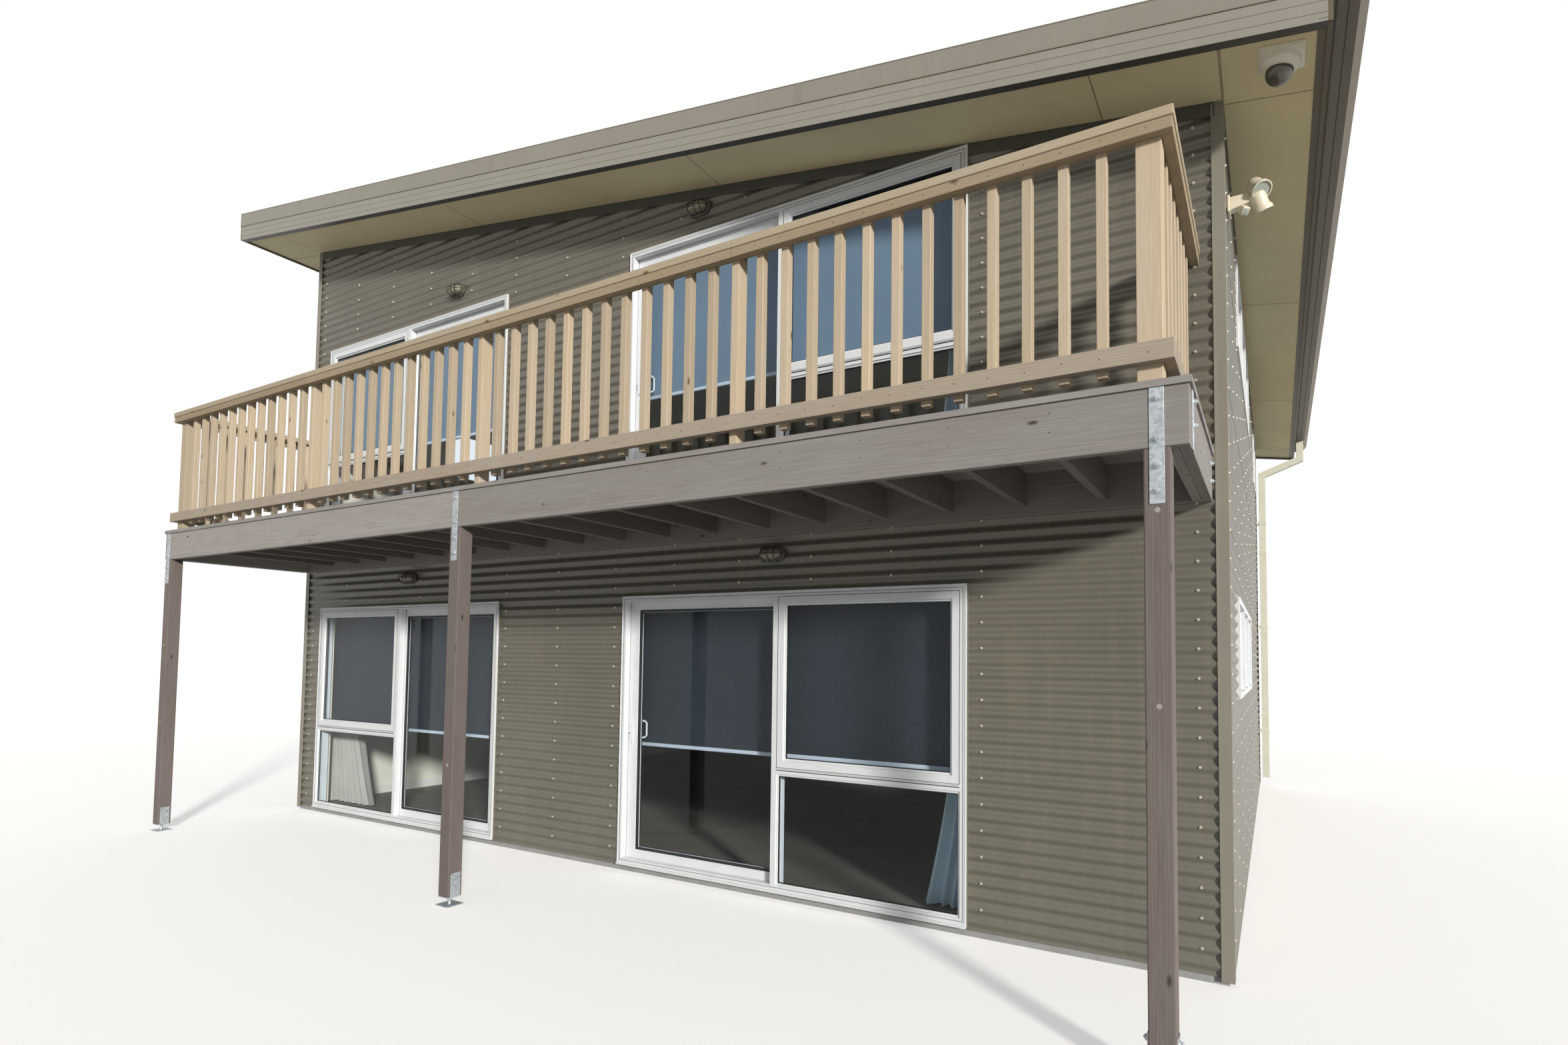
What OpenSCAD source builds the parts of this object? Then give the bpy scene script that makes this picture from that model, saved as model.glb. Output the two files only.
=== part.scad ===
// Two-storey cabin clad in horizontal corrugated steel, with a one-way sloping roof and a timber balcony
// Millimetres, +Z up, +X to the right along the front, +Y into the building
// The origin is the middle of the floor slab's underside

/* [House] */
// Width across the cladding, left to right
house_w = 8600; // [8300:10:9400]
// Depth across the cladding, front to back
house_d = 8000; // [7400:10:9600]
// Height of the soffit at the low, right-hand wall
eave_h = 4580; // [4520:5:4640]
// Slope of the roof in degrees, falling to the right
roof_pitch = 8.9; // [8.6:0.1:12]
// Thickness of the framed and lined walls
wall_t = 120; // [90:5:160]
// Height of the concrete slab above the ground
slab_h = 50; // [45:1:80]
// Height of the cladding's lower edge above the ground
base_gap = 40; // [25:1:44]
// Rise from the ground floor to the upper floor
storey_h = 2705; // [2690:5:2715]
// Thickness of the upper floor
floor_t = 230; // [180:5:260]

/* [Cladding] */
// Distance between two crests of the corrugated sheet
wave_p = 76.2; // [60:0.1:90]
// Depth of the corrugation
wave_d = 17; // [12:0.5:22]
// Backing left behind the corrugation
sheet_back = 5; // [3:0.5:8]
// Height of the front wall's lowest crest above the ground
front_crest_h = 17; // [0:1:60]
// Height of the front wall's first crest above the upper floor
upper_crest_h = 48; // [10:1:60]
// Width of one face of the corner flashing
corner_face = 58; // [40:1:90]
// Thickness of the folded flashings
flashing_t = 3; // [2:0.5:5]
// Height of the flat band at the upper floor
band_h = 106; // [80:1:130]
// Height of the flat strip under the soffit
eave_strip_h = 80; // [50:1:110]

/* [Roof] */
// Overhang past the front and rear walls
verge_out = 460; // [300:10:600]
// Overhang past the high, left-hand wall
high_out = 640; // [400:10:800]
// Overhang past the low, right-hand wall
low_out = 440; // [360:10:600]
// Thickness of the soffit and ceiling lining
lining_t = 9; // [6:1:16]
// Depth of the rafters
rafter_h = 235; // [190:5:260]
// Width of one rafter
rafter_w = 45; // [35:1:60]
// Number of rafters
rafter_n = 10; // [6:1:14]
// Thickness of the barge and fascia boards
board_t = 20; // [12:1:30]
// How far the boards hang below the soffit
board_drop = 17; // [8:1:30]
// Height of the capping's outer face
cap_face = 140; // [90:5:170]
// Width of the capping on top of the roof
cap_top = 110; // [70:5:160]
// Gap left where two sloping pieces seat on each other
seat = 0.3; // [0.2:0.1:1]

/* [Rainwater] */
// Width of the gutter
gutter_w = 150; // [110:5:180]
// Width of the gutter's floor, before its front slopes out
gutter_floor_w = 108; // [80:1:140]
// Height of the gutter
gutter_h = 125; // [100:5:150]
// Height at which the gutter's front turns upright
gutter_chin_h = 56; // [30:1:80]
// Radius of the bead along the gutter's front
gutter_bead = 8; // [5:0.5:12]
// Wall of the gutter
gutter_t = 3; // [2:0.5:5]
// How far the gutter's rim lies below the roof
gutter_drop = 25; // [15:1:60]
// Side of the square downpipe
pipe_w = 80; // [60:1:100]
// Gap between the downpipe and the wall
pipe_gap = 30; // [20:1:45]
// Upright stub of the downpipe below the gutter
stub_h = 215; // [190:5:300]
// Drop of the downpipe's slanting stretch
offset_h = 175; // [120:5:300]
// Height of the downpipe's lower end above the ground
pipe_end_h = 120; // [60:5:250]
// Distance between two pipe clips
clip_p = 1400; // [800:50:1800]
// Height of a pipe clip
clip_h = 40; // [25:1:60]

/* [Door units] */
// Width of one door and window unit
unit_w = 2740; // [2700:5:2780]
// Height of one unit
unit_h = 2030; // [2010:1:2035]
// Tallest unit that the two storeys have room for; a taller one lifts the upper floor and the roof
unit_room = 2032; // [2030:1:2045]
// Left edge of the left-hand units from the left wall
left_unit_x = 308; // [260:1:380]
// Right edge of the right-hand units from the right wall
right_unit_x = 1385; // [1300:5:1500]
// Face width of the outer frame
frame_w = 40; // [34:1:50]
// Depth of the frame from front to back
frame_d = 118; // [112:1:124]
// How far the frame stands proud of the cladding
frame_proud = 12; // [4:1:18]
// How far the sill's nose stands out from the frame
sill_nose = 14; // [6:1:24]
// Height of the sill under the glass
sill_h = 52; // [44:1:60]
// Width of the opening that the sliding leaf closes
leaf_open = 1335; // [1300:5:1360]
// Width of the mullion and of the transom
bar_w = 42; // [34:1:50]
// Height of the transom's middle above the sill's underside
transom_z = 812; // [700:1:900]
// Face width of the awning sash
sash_w = 50; // [40:1:60]
// Thickness of the awning sash
sash_t = 40; // [32:1:44]
// Thickness of the glass
glass_t = 6; // [4:1:10]
// Clearance round the sliding leaf
leaf_gap = 5; // [5:0.5:6]
// Thickness of the sliding leaf
leaf_t = 40; // [34:1:42]
// Stile that carries the pull
pull_stile = 92; // [80:1:100]
// Stile that meets the fixed side
meeting_stile = 70; // [60:1:80]
// Rails of the sliding leaf
leaf_rail = 68; // [55:1:80]
// Running gap between the leaf's rollers and the sill
roller_gap = 0.3; // [0.2:0.1:0.5]
// Height of the pulls' middle above the sill's underside
pull_z = 1022; // [900:2:1100]
// Length of the pulls
pull_len = 166; // [120:2:200]

/* [Blinds] */
// Bottom bar of the lower left blind above its floor
blind_side_z = 824; // [400:2:1100]
// Bottom bar of the lower right blind above its floor
blind_main_z = 880; // [400:2:1100]
// Bottom bars of the upper blinds above their floor
blind_upper_z = 895; // [400:2:1100]
// Distance of the hanging cloth from the wall's inner face
blind_off = 20; // [18:1:40]
// Diameter of the blind's roller
blind_roll = 44; // [36:1:60]
// Thickness of the blind's cloth
blind_t = 2; // [1.5:0.5:4]

/* [Side windows] */
// Distance of the lower side window from the front
low_win_y = 1070; // [900:10:1300]
// Width of the lower side window
low_win_w = 2780; // [1500:10:2900]
// Sill height of the lower windows above the slab
low_win_z = 1350; // [1200:10:1400]
// Height of the lower side window
low_win_h = 640; // [500:10:800]
// Distance of the upper front side window from the front
up_win_y = 1500; // [1200:10:1700]
// Width of the upper front side window
up_win_w = 2600; // [1500:10:2700]
// Sill height of the upper windows above the upper floor
up_win_z = 1025; // [900:10:1045]
// Height of the upper side windows
up_win_h = 640; // [500:10:680]
// Distance of the small upper window from the front
small_win_y = 6250; // [5600:10:6300]
// Width of the small upper window
small_win_w = 820; // [600:10:900]
// Depth of a window frame from front to back
win_d = 90; // [70:5:110]
// How far the window glass lies behind the crests
win_glass_in = 30; // [20:1:50]

/* [Balcony] */
// Depth from the cladding to the front of the beam
deck_d = 1276; // [1150:1:1500]
// Step down from the upper floor to the decking
deck_step = 33; // [20:1:60]
// Thickness of the decking
decking_t = 28; // [20:1:32]
// Width of one decking board
plank_w = 135; // [90:1:145]
// Gap between decking boards
plank_gap = 5; // [3:1:8]
// How far the decking stands past the beam
nosing = 10; // [5:1:40]
// Height of the balcony beams
beam_h = 238; // [190:1:260]
// Thickness of a beam, joist or ledger
beam_t = 45; // [38:1:50]
// Height of the joists
joist_h = 190; // [140:1:200]
// Number of joists
joist_n = 18; // [8:1:20]
// Distance from the beam's left end to the left wall
beam_in = 28; // [10:1:60]
// Distance from the beam's right end to the right wall
beam_in_right = 72; // [10:1:90]
// Side of the ground posts
post_w = 100; // [90:1:125]
// Middle post's left face from the left wall
mid_post_x = 4118; // [3900:1:4400]
// Left post's distance in from the beam's end
post_in_left = 10; // [0:1:90]
// Right post's distance in from the beam's end
post_in = 67; // [20:1:90]
// Width of the steel straps
strap_w = 55; // [40:1:70]
// Length of the straps down the posts
strap_len = 460; // [380:5:520]
// Thickness of the straps
strap_t = 4; // [2:0.5:6]
// Height of the post's underside above the ground
post_foot_h = 60; // [40:1:90]
// Thickness of the post shoes' plates
foot_t = 5; // [4:0.5:8]
// Side of the post shoes' base plates
foot_w = 120; // [100:5:160]
// Height of the shoes' cheeks on the post
cheek_h = 150; // [90:5:200]

/* [Balustrade] */
// Height of the cap board above the decking
rail_h = 1093; // [1000:1:1150]
// Thickness of the cap board
cap_t = 42; // [30:1:50]
// Width of the cap board
cap_w = 140; // [120:1:160]
// Height of the top rail
top_rail_h = 50; // [40:1:90]
// Height of the bottom rail
low_rail_h = 82; // [60:1:95]
// Thickness of the rails
rail_t = 45; // [30:1:50]
// Space below the bottom rail
low_rail_z = 80; // [60:1:100]
// Side of the square balusters
baluster_w = 44; // [36:1:50]
// How far balusters reach below the bottom rail
baluster_tail = 25; // [10:1:40]
// Side of the corner balustrade posts
newel_w = 98; // [88:1:110]
// Width of the inner balustrade posts along the rail
inner_newel_w = 47; // [40:1:60]
// Depth of the inner balustrade posts
inner_newel_d = 80; // [60:1:98]
// Left faces of the inner balustrade posts from the left wall
inner_newel_x = [2279, 4286, 6334]; // [200:1:8300]
// Greatest distance between baluster middles
baluster_p = 166; // [120:1:180]
// Inset of the balustrade's face from the beam's end
rail_in = 50; // [40:1:70]

/* [Fittings] */
// Width of a bulkhead light's base
light_w = 210; // [160:5:260]
// Height of a bulkhead light's base
light_h = 120; // [90:5:150]
// How far a bulkhead light stands out
light_d = 86; // [70:1:110]
// Bars of the light's cage
cage_d = 7; // [5:0.5:10]
// Distance of the spot lights from the front
spot_y = 340; // [250:10:600]
// Spot lights' arm below the soffit
spot_drop = 360; // [300:10:500]
// Diameter of a spot lamp's rim
spot_d = 100; // [80:2:130]
// Distance of the dome camera from the right wall
dome_x = 275; // [180:5:330]
// Distance of the dome camera out from the front
dome_y = 185; // [120:5:350]
// Side of the dome camera's mounting plate
dome_plate = 205; // [170:5:240]
// Diameter of the camera's dome
dome_d = 120; // [90:5:140]

/* [Hidden] */
steel = "#4a4c45";
joinery = "#d8d5cb";
timber = "#8a7a62";
cream = "#d9d0b8";
lining = "#e6dfcc";
concrete = "#9c9a94";
zinc = "#9aa0a3";
casting = "#5b5851";
cloth = "#8b96a3";
pane = [0.55, 0.62, 0.64, 0.5];

// Floors, walls and the roof's plane
slope = tan(roof_pitch);
clad_t = wave_d + sheet_back;
wall_in = clad_t + wall_t;
far = 20000;
unit_lift = max(0, unit_h - unit_room);
floor_z = [slab_h, slab_h + storey_h + unit_lift];
eave_z = eave_h + 2 * unit_lift;
roof_x0 = -high_out;
roof_x1 = house_w + low_out;
roof_y0 = -verge_out;
roof_y1 = house_d + verge_out;
board_x0 = roof_x0 - board_t;
board_x1 = roof_x1 + board_t;
board_y0 = roof_y0 - board_t;
board_y1 = roof_y1 + board_t;
roof_top = lining_t + seat + rafter_h;
cap_rise = roof_top + clad_t / cos(roof_pitch) + 2 * seat;
joint_w = 4;
sheet_n = 3;

// Door units: the main ones have their leaf at the left, the left-hand ones are mirrored
main_x = house_w - right_unit_x - unit_w;
frame_y1 = frame_d - frame_proud;
inner_lip = 10;
leaf_y = 46;
track_h = sill_h - 12;
mull_x = frame_w + leaf_open;
fixed_x = mull_x + bar_w;
leaf_lap = 8;
leaf_x0 = frame_w - inner_lip + leaf_gap;
leaf_x1 = fixed_x + leaf_lap;
leaf_z0 = track_h + leaf_gap;
leaf_z1 = unit_h - frame_w + inner_lip - leaf_gap;
roller_w = 60;
roller_side = 12;
glass_y = 6;
nose_h = 16;
sash_fit = 0.3;
sash_proud = 2;
pull_w = 16;
pull_out = 54;
pull_bar = 14;
pull_foot = 26;
plate_w = 24;
plate_t = 6;
latch_t = 8;

// Roller blinds inside the wall
blind_y = wall_in + blind_off;
blind_side = 10;
blind_bar_h = 28;
blind_bar_t = 24;
roll_z = unit_h - 30;
bracket_t = 6;
bracket_h = 40;

// Balcony
deck_top = floor_z[1] - deck_step;
beam_top = deck_top - decking_t;
beam_x0 = beam_in;
beam_x1 = house_w - beam_in_right;
side_beam_t = 2 * beam_t;
wall_gap = flashing_t + 1;
ledger_x0 = max(beam_x0, corner_face + 1);
ledger_x1 = min(beam_x1, house_w - corner_face - 1);
ledger_y = -flashing_t - beam_t;
deck_run = deck_d + nosing - wall_gap;
plank_n = floor((deck_run + plank_gap) / (plank_w + plank_gap));
plank_real = (deck_run - (plank_n - 1) * plank_gap) / plank_n;
post_x = [beam_x0 + post_in_left, mid_post_x, beam_x1 - post_in - post_w];
side_strap_in = 50;
base_t = 6;
pin_d = 24;
cheek_w = 70;

// Balustrade: outer faces of the rails, posts behind them
rail_x0 = beam_x0 + rail_in;
rail_x1 = beam_x1 - rail_in;
rail_y0 = -deck_d;
newel_y0 = rail_y0 + rail_t;
under_cap = deck_top + rail_h - cap_t;
low_rail_z0 = deck_top + low_rail_z;
top_rail_z0 = under_cap - top_rail_h;
cap_lip = 5;
newel_lo = concat([rail_x0 + rail_t], inner_newel_x, [rail_x1 - rail_t - newel_w]);
newel_hi = concat([rail_x0 + rail_t + newel_w], [for (x = inner_newel_x) x + inner_newel_w],
    [rail_x1 - rail_t]);

// Height of the soffit's underside at a distance from the left wall
function soffit_z(x) = eave_z + (house_w - x) * slope;

// Profile of a corrugated sheet of length len: crests at 0, troughs at -wave_d, n chords a wave
function wave(len, n = 6) = [for (i = [0 : 1 : ceil(len / wave_p) * n])
    [i * wave_p / n, -wave_d * (1 - cos(360 * i / n)) / 2]];

module set_out() translate([-house_w / 2, -house_d / 2, 0]) children();

// An outline of the front plane, as (x, z), made solid from y0 to y1
module front_plate(y0, y1) translate([0, y1, 0]) rotate([90, 0, 0]) linear_extrude(y1 - y0) children();

// An outline of the side plane, as (y, z), made solid from x0 to x1
module side_plate(x0, x1) translate([x0, 0, 0]) rotate([90, 0, 90]) linear_extrude(x1 - x0) children();

module block(x0, x1, y0, y1, z0, z1) translate([x0, y0, z0]) cube([x1 - x0, y1 - y0, z1 - z0]);

module rect(x0, x1, z0, z1) translate([x0, z0]) square([x1 - x0, z1 - z0]);

// Turns the z axis of its children to the direction d and puts them at the point a
module aim(a, d) translate(a) rotate([0, acos(d[2] / norm(d)), atan2(d[1], d[0])]) children();

// Outline with half-round ends, w wide and h high
module oval(w, h) {
    square([w - h, h], center = true);
    for (s = [-1, 1]) translate([s * (w - h) / 2, 0]) circle(d = h, $fn = 48);
}

// A band that follows the roof's slope, from rise a to rise b over the soffit's underside
module roof_band(x0, x1, a, b, y0, y1) front_plate(y0, y1)
    polygon([[x0, soffit_z(x0) + a], [x1, soffit_z(x1) + a],
        [x1, soffit_z(x1) + b], [x0, soffit_z(x0) + b]]);

// The house's front as an (x, z) outline from height z0 to a rise over the soffit
module front_face(x0, x1, z0, rise)
    polygon([[x0, z0], [x1, z0], [x1, soffit_z(x1) + rise], [x0, soffit_z(x0) + rise]]);

// Openings of the front wall on one floor
module unit_holes(level) for (x = [left_unit_x, main_x])
    rect(x, x + unit_w, floor_z[level], floor_z[level] + unit_h);

// Openings of the side walls as (y, z) outlines; both side walls have the same ones
module side_holes() {
    rect(low_win_y, low_win_y + low_win_w, floor_z[0] + low_win_z, floor_z[0] + low_win_z + low_win_h);
    rect(up_win_y, up_win_y + up_win_w, floor_z[1] + up_win_z, floor_z[1] + up_win_z + up_win_h);
    rect(small_win_y, small_win_y + small_win_w, floor_z[1] + up_win_z, floor_z[1] + up_win_z + up_win_h);
}

// Two windows a floor in the rear wall, each in the middle of its half
rear_win_x = [for (half = [1, 3]) half * house_w / 4 - up_win_w / 2];
rear_win_z = [floor_z[0] + low_win_z, floor_z[1] + up_win_z];
module rear_holes() for (x = rear_win_x, z = rear_win_z) rect(x, x + up_win_w, z, z + low_win_h);

module floor_slab() color(concrete) set_out()
    block(clad_t, house_w - clad_t, clad_t, house_d - clad_t, 0, slab_h);

// A stretch of the front or rear wall's framing between two heights
module framing(z0, z1) intersection() {
    front_face(clad_t, house_w - clad_t, 0, lining_t);
    rect(clad_t, house_w - clad_t, z0, z1);
}

module front_piers(level) front_plate(clad_t, wall_in) difference() {
    framing(floor_z[level], floor_z[level] + unit_h);
    unit_holes(level);
}

module front_piers_lower() color(steel) set_out() front_piers(0);
module front_piers_upper() color(steel) set_out() front_piers(1);
module front_band() color(steel) set_out()
    front_plate(clad_t, wall_in) framing(floor_z[0] + unit_h, floor_z[1]);
module front_gable() color(steel) set_out()
    front_plate(clad_t, wall_in) framing(floor_z[1] + unit_h, far);

module side_wall(x0) side_plate(x0, x0 + wall_t) difference() {
    rect(wall_in, house_d - wall_in, slab_h, soffit_z(x0 + wall_t) + lining_t);
    side_holes();
}

module left_wall() color(steel) set_out() side_wall(clad_t);
module right_wall() color(steel) set_out() side_wall(house_w - wall_in);

module rear_wall() color(steel) set_out() front_plate(house_d - wall_in, house_d - clad_t) difference() {
    framing(slab_h, far);
    rear_holes();
}

module upper_floor() color(timber) set_out()
    block(wall_in, house_w - wall_in, wall_in, house_d - wall_in, floor_z[1] - floor_t, floor_z[1]);

module ceiling() color(lining) set_out()
    roof_band(wall_in, house_w - wall_in, 0, lining_t, wall_in, house_d - wall_in);

// A flat-backed corrugated sheet that stands up, wave to the front, as wide as len and as high as tall
module clad_sheet(len, tall) rotate([90, 0, 90]) linear_extrude(len)
    polygon(concat([for (p = wave(tall)) [-p[1], p[0]]],
        [[clad_t, ceil(tall / wave_p) * wave_p], [clad_t, 0]]));

// The front has a sheet for each storey, their waves out of step; they meet behind the flat band
clad_split = floor_z[1] - seat - band_h / 2;
module front_sheet(crest_z, z0, z1) intersection() {
    translate([0, 0, crest_z]) clad_sheet(house_w, soffit_z(0));
    front_plate(0, clad_t) rect(0, house_w, z0, z1);
}
module front_cladding() color(steel) set_out() intersection() {
    union() {
        front_sheet(front_crest_h - wave_p, base_gap, clad_split);
        front_sheet(floor_z[1] + upper_crest_h - 2 * wave_p, clad_split, far);
    }
    front_plate(0, clad_t) difference() {
        front_face(0, house_w, base_gap, 0);
        unit_holes(0);
        unit_holes(1);
    }
}

module rear_cladding() color(steel) set_out() intersection() {
    translate([house_w, house_d, base_gap]) rotate([0, 0, 180]) clad_sheet(house_w, soffit_z(0));
    front_plate(house_d - clad_t, house_d) difference() {
        front_face(0, house_w, base_gap, 0);
        rear_holes();
    }
}

module side_clad_area(x) difference() {
    rect(clad_t, house_d - clad_t, base_gap, soffit_z(x));
    side_holes();
}

module left_cladding() color(steel) set_out() intersection() {
    translate([0, house_d, base_gap]) rotate([0, 0, -90]) clad_sheet(house_d, soffit_z(0));
    side_plate(0, clad_t) side_clad_area(clad_t);
}

module right_cladding() color(steel) set_out() intersection() {
    translate([house_w, 0, base_gap]) rotate([0, 0, 90]) clad_sheet(house_d, soffit_z(0));
    side_plate(house_w - clad_t, house_w) side_clad_area(house_w);
}

// Folded angle round an outer corner, its faces outside the crests
module corner_angle() linear_extrude(far) polygon([[-flashing_t, -flashing_t], [corner_face, -flashing_t],
    [corner_face, 0], [0, 0], [0, corner_face], [-flashing_t, corner_face]]);

corner_foot = 20;
module corner_flashings() color(steel) set_out() intersection() {
    for (sx = [0, 1], sy = [0, 1]) translate([sx * house_w, sy * house_d, 0])
        mirror([sx, 0, 0]) mirror([0, sy, 0]) corner_angle();
    front_plate(-flashing_t, house_d + flashing_t)
        front_face(-flashing_t, house_w + flashing_t, base_gap - corner_foot, -seat);
}

// Flat strips on the crests: a band at the upper floor, and strips along the wall tops
strip_x = [corner_face + seat, house_w - corner_face - seat];
strip_y = [corner_face + seat, house_d - corner_face - seat];
module eave_strip() difference() {
    front_face(strip_x[0], strip_x[1], 0, -seat);
    front_face(0, house_w, -1, -seat - eave_strip_h);
    unit_holes(1);
}
module side_eave_strip(x)
    rect(strip_y[0], strip_y[1], soffit_z(x) - seat - eave_strip_h, soffit_z(x) - seat);
module wall_flashings() color(steel) set_out() {
    front_plate(-flashing_t, 0) rect(strip_x[0], strip_x[1], floor_z[1] - seat - band_h, floor_z[1] - seat);
    front_plate(-flashing_t, 0) eave_strip();
    front_plate(house_d, house_d + flashing_t) difference() {
        front_face(strip_x[0], strip_x[1], 0, -seat);
        front_face(0, house_w, -1, -seat - eave_strip_h);
    }
    side_plate(-flashing_t, 0) side_eave_strip(0);
    side_plate(house_w, house_w + flashing_t) side_eave_strip(house_w + flashing_t);
}

// Openings of one unit on the outer plane: the leaf's way, the awning light and the fixed light
module leaf_way() rect(frame_w, mull_x, sill_h, unit_h - frame_w);
module awning_way(d = 0)
    rect(fixed_x + d, unit_w - frame_w - d, transom_z + bar_w / 2 + d, unit_h - frame_w - d);
module fixed_way() rect(fixed_x, unit_w - frame_w, sill_h, transom_z - bar_w / 2);

// One unit's frame with the leaf's way at the left; the leaf runs behind the fixed side
module unit_frame() {
    front_plate(-frame_proud, leaf_y - leaf_gap) difference() {
        rect(0, unit_w, 0, unit_h);
        leaf_way();
        awning_way();
        fixed_way();
    }
    front_plate(leaf_y - leaf_gap, frame_y1) difference() {
        rect(0, unit_w, 0, unit_h);
        rect(frame_w - inner_lip, unit_w - frame_w + inner_lip, track_h, unit_h - frame_w + inner_lip);
    }
    front_plate(-frame_proud - sill_nose, -frame_proud) rect(0, unit_w, 0, nose_h);
}

// The sliding leaf, closed, in its unit's own place
module leaf_sight()
    rect(leaf_x0 + pull_stile, leaf_x1 - meeting_stile, leaf_z0 + leaf_rail, leaf_z1 - leaf_rail);
module leaf_frame() {
    front_plate(leaf_y, leaf_y + leaf_t) difference() {
        rect(leaf_x0, leaf_x1, leaf_z0, leaf_z1);
        leaf_sight();
    }
    for (x = [leaf_x0 + roller_w, leaf_x1 - 2 * roller_w]) block(x, x + roller_w,
        leaf_y + roller_side, leaf_y + leaf_t - roller_side, track_h + roller_gap, leaf_z0 + 1);
}
module leaf_pane()
    front_plate(leaf_y + (leaf_t - glass_t) / 2, leaf_y + (leaf_t + glass_t) / 2) leaf_sight();

// Flat latch outside, plate and folded D-shaped pull inside, on the leaf's outer stile
module leaf_pull() {
    px = leaf_x0 + pull_stile / 2;
    z0 = pull_z - pull_len / 2;
    z1 = pull_z + pull_len / 2;
    back_y = leaf_y + leaf_t;
    block(px - plate_w / 2, px + plate_w / 2, leaf_y - latch_t, leaf_y, z0, z1);
    block(px - plate_w / 2, px + plate_w / 2, back_y, back_y + plate_t, z0, z1);
    side_plate(px - pull_w / 2, px + pull_w / 2) difference() {
        polygon([[back_y, z0], [back_y + pull_out, z0 + pull_foot],
            [back_y + pull_out, z1 - pull_foot], [back_y, z1]]);
        polygon([[back_y - 1, z0 + pull_bar], [back_y + pull_out - pull_bar, z0 + pull_foot + pull_bar],
            [back_y + pull_out - pull_bar, z1 - pull_foot - pull_bar], [back_y - 1, z1 - pull_bar]]);
    }
}

// Awning sash in its light, and the panes of the fixed side
module awning_sash() front_plate(-frame_proud - sash_proud, sash_t - frame_proud - sash_proud) difference() {
    awning_way(sash_fit);
    awning_way(sash_w);
}
module fixed_panes() {
    front_plate(glass_y, glass_y + glass_t) fixed_way();
    front_plate(glass_y, glass_y + glass_t) awning_way(sash_w);
}

module at_main(level = 0) set_out() translate([main_x, 0, floor_z[level]]) children();
module at_side(level = 0) set_out()
    translate([left_unit_x + unit_w, 0, floor_z[level]]) mirror([1, 0, 0]) children();

module main_frame() color(joinery) at_main() unit_frame();
module side_frame() color(joinery) at_side() unit_frame();
module main_panes() color(pane) at_main() fixed_panes();
module side_panes() color(pane) at_side() fixed_panes();
module main_leaf() color(joinery) at_main() leaf_frame();
module side_leaf() color(joinery) at_side() leaf_frame();
module main_leaf_glass() color(pane) at_main() leaf_pane();
module side_leaf_glass() color(pane) at_side() leaf_pane();
module main_pull() color(joinery) at_main() leaf_pull();
module side_pull() color(joinery) at_side() leaf_pull();

module upper_frames() color(joinery) {
    at_main(1) unit_frame();
    at_side(1) unit_frame();
}
module upper_leaves() color(joinery) {
    at_main(1) leaf_frame();
    at_side(1) leaf_frame();
}
module upper_panes() color(pane) {
    at_main(1) fixed_panes();
    at_side(1) fixed_panes();
    at_main(1) leaf_pane();
    at_side(1) leaf_pane();
}
module awning_sashes() color(joinery) for (level = [0, 1]) {
    at_main(level) awning_sash();
    at_side(level) awning_sash();
}

// A roller blind: the cloth ends where it meets the roll, and at its bottom bar
roll_r = blind_roll / 2;
cloth_top = roll_z - sqrt(roll_r * roll_r - (roll_r - blind_t) * (roll_r - blind_t)) - seat;
module blind_cloth(z) front_plate(blind_y, blind_y + blind_t) rect(0, unit_w, z + blind_bar_h, cloth_top);
module blind_roller(z) {
    translate([-blind_side, blind_y + roll_r, roll_z]) rotate([0, 90, 0])
        cylinder(h = unit_w + 2 * blind_side, r = roll_r, $fn = 48);
    for (x = [-blind_side - bracket_t, unit_w + blind_side])
        block(x, x + bracket_t, wall_in, blind_y + blind_roll,
            roll_z - bracket_h / 2, roll_z + bracket_h / 2);
    bar_y = blind_y + (blind_t - blind_bar_t) / 2;
    block(0, unit_w, bar_y, bar_y + blind_bar_t, z, z + blind_bar_h);
}
module blind_cloths() color(cloth) {
    at_main(0) blind_cloth(blind_main_z);
    at_side(0) blind_cloth(blind_side_z);
    at_main(1) blind_cloth(blind_upper_z);
    at_side(1) blind_cloth(blind_upper_z);
}
module blind_rollers() color(joinery) {
    at_main(0) blind_roller(blind_main_z);
    at_side(0) blind_roller(blind_side_z);
    at_main(1) blind_roller(blind_upper_z);
    at_side(1) blind_roller(blind_upper_z);
}

// The lights of a plain window, w by h, with a number of mullions, as outlines in its wall's plane
module win_lights(w, h, bars) for (k = [0 : bars])
    translate([frame_w + k * (w - frame_w) / (bars + 1), frame_w])
        square([(w - frame_w) / (bars + 1) - frame_w, h - 2 * frame_w]);
module win_part(w, h, bars, glass) if (glass) win_lights(w, h, bars);
else difference() {
    square([w, h]);
    win_lights(w, h, bars);
}

module side_wins(glass) {
    translate([low_win_y, floor_z[0] + low_win_z]) win_part(low_win_w, low_win_h, 2, glass);
    translate([up_win_y, floor_z[1] + up_win_z]) win_part(up_win_w, up_win_h, 2, glass);
    translate([small_win_y, floor_z[1] + up_win_z]) win_part(small_win_w, up_win_h, 0, glass);
}
module rear_wins(glass) for (x = rear_win_x, z = rear_win_z)
    translate([x, z]) win_part(up_win_w, low_win_h, 2, glass);

module wall_windows() color(joinery) set_out() {
    side_plate(house_w - win_d + frame_proud, house_w + frame_proud) side_wins(false);
    side_plate(-frame_proud, win_d - frame_proud) side_wins(false);
    front_plate(house_d - win_d + frame_proud, house_d + frame_proud) rear_wins(false);
}
module wall_window_glass() color(pane) set_out() {
    side_plate(house_w - win_glass_in, house_w - win_glass_in + glass_t) side_wins(true);
    side_plate(win_glass_in - glass_t, win_glass_in) side_wins(true);
    front_plate(house_d - win_glass_in, house_d - win_glass_in + glass_t) rear_wins(true);
}

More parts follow.
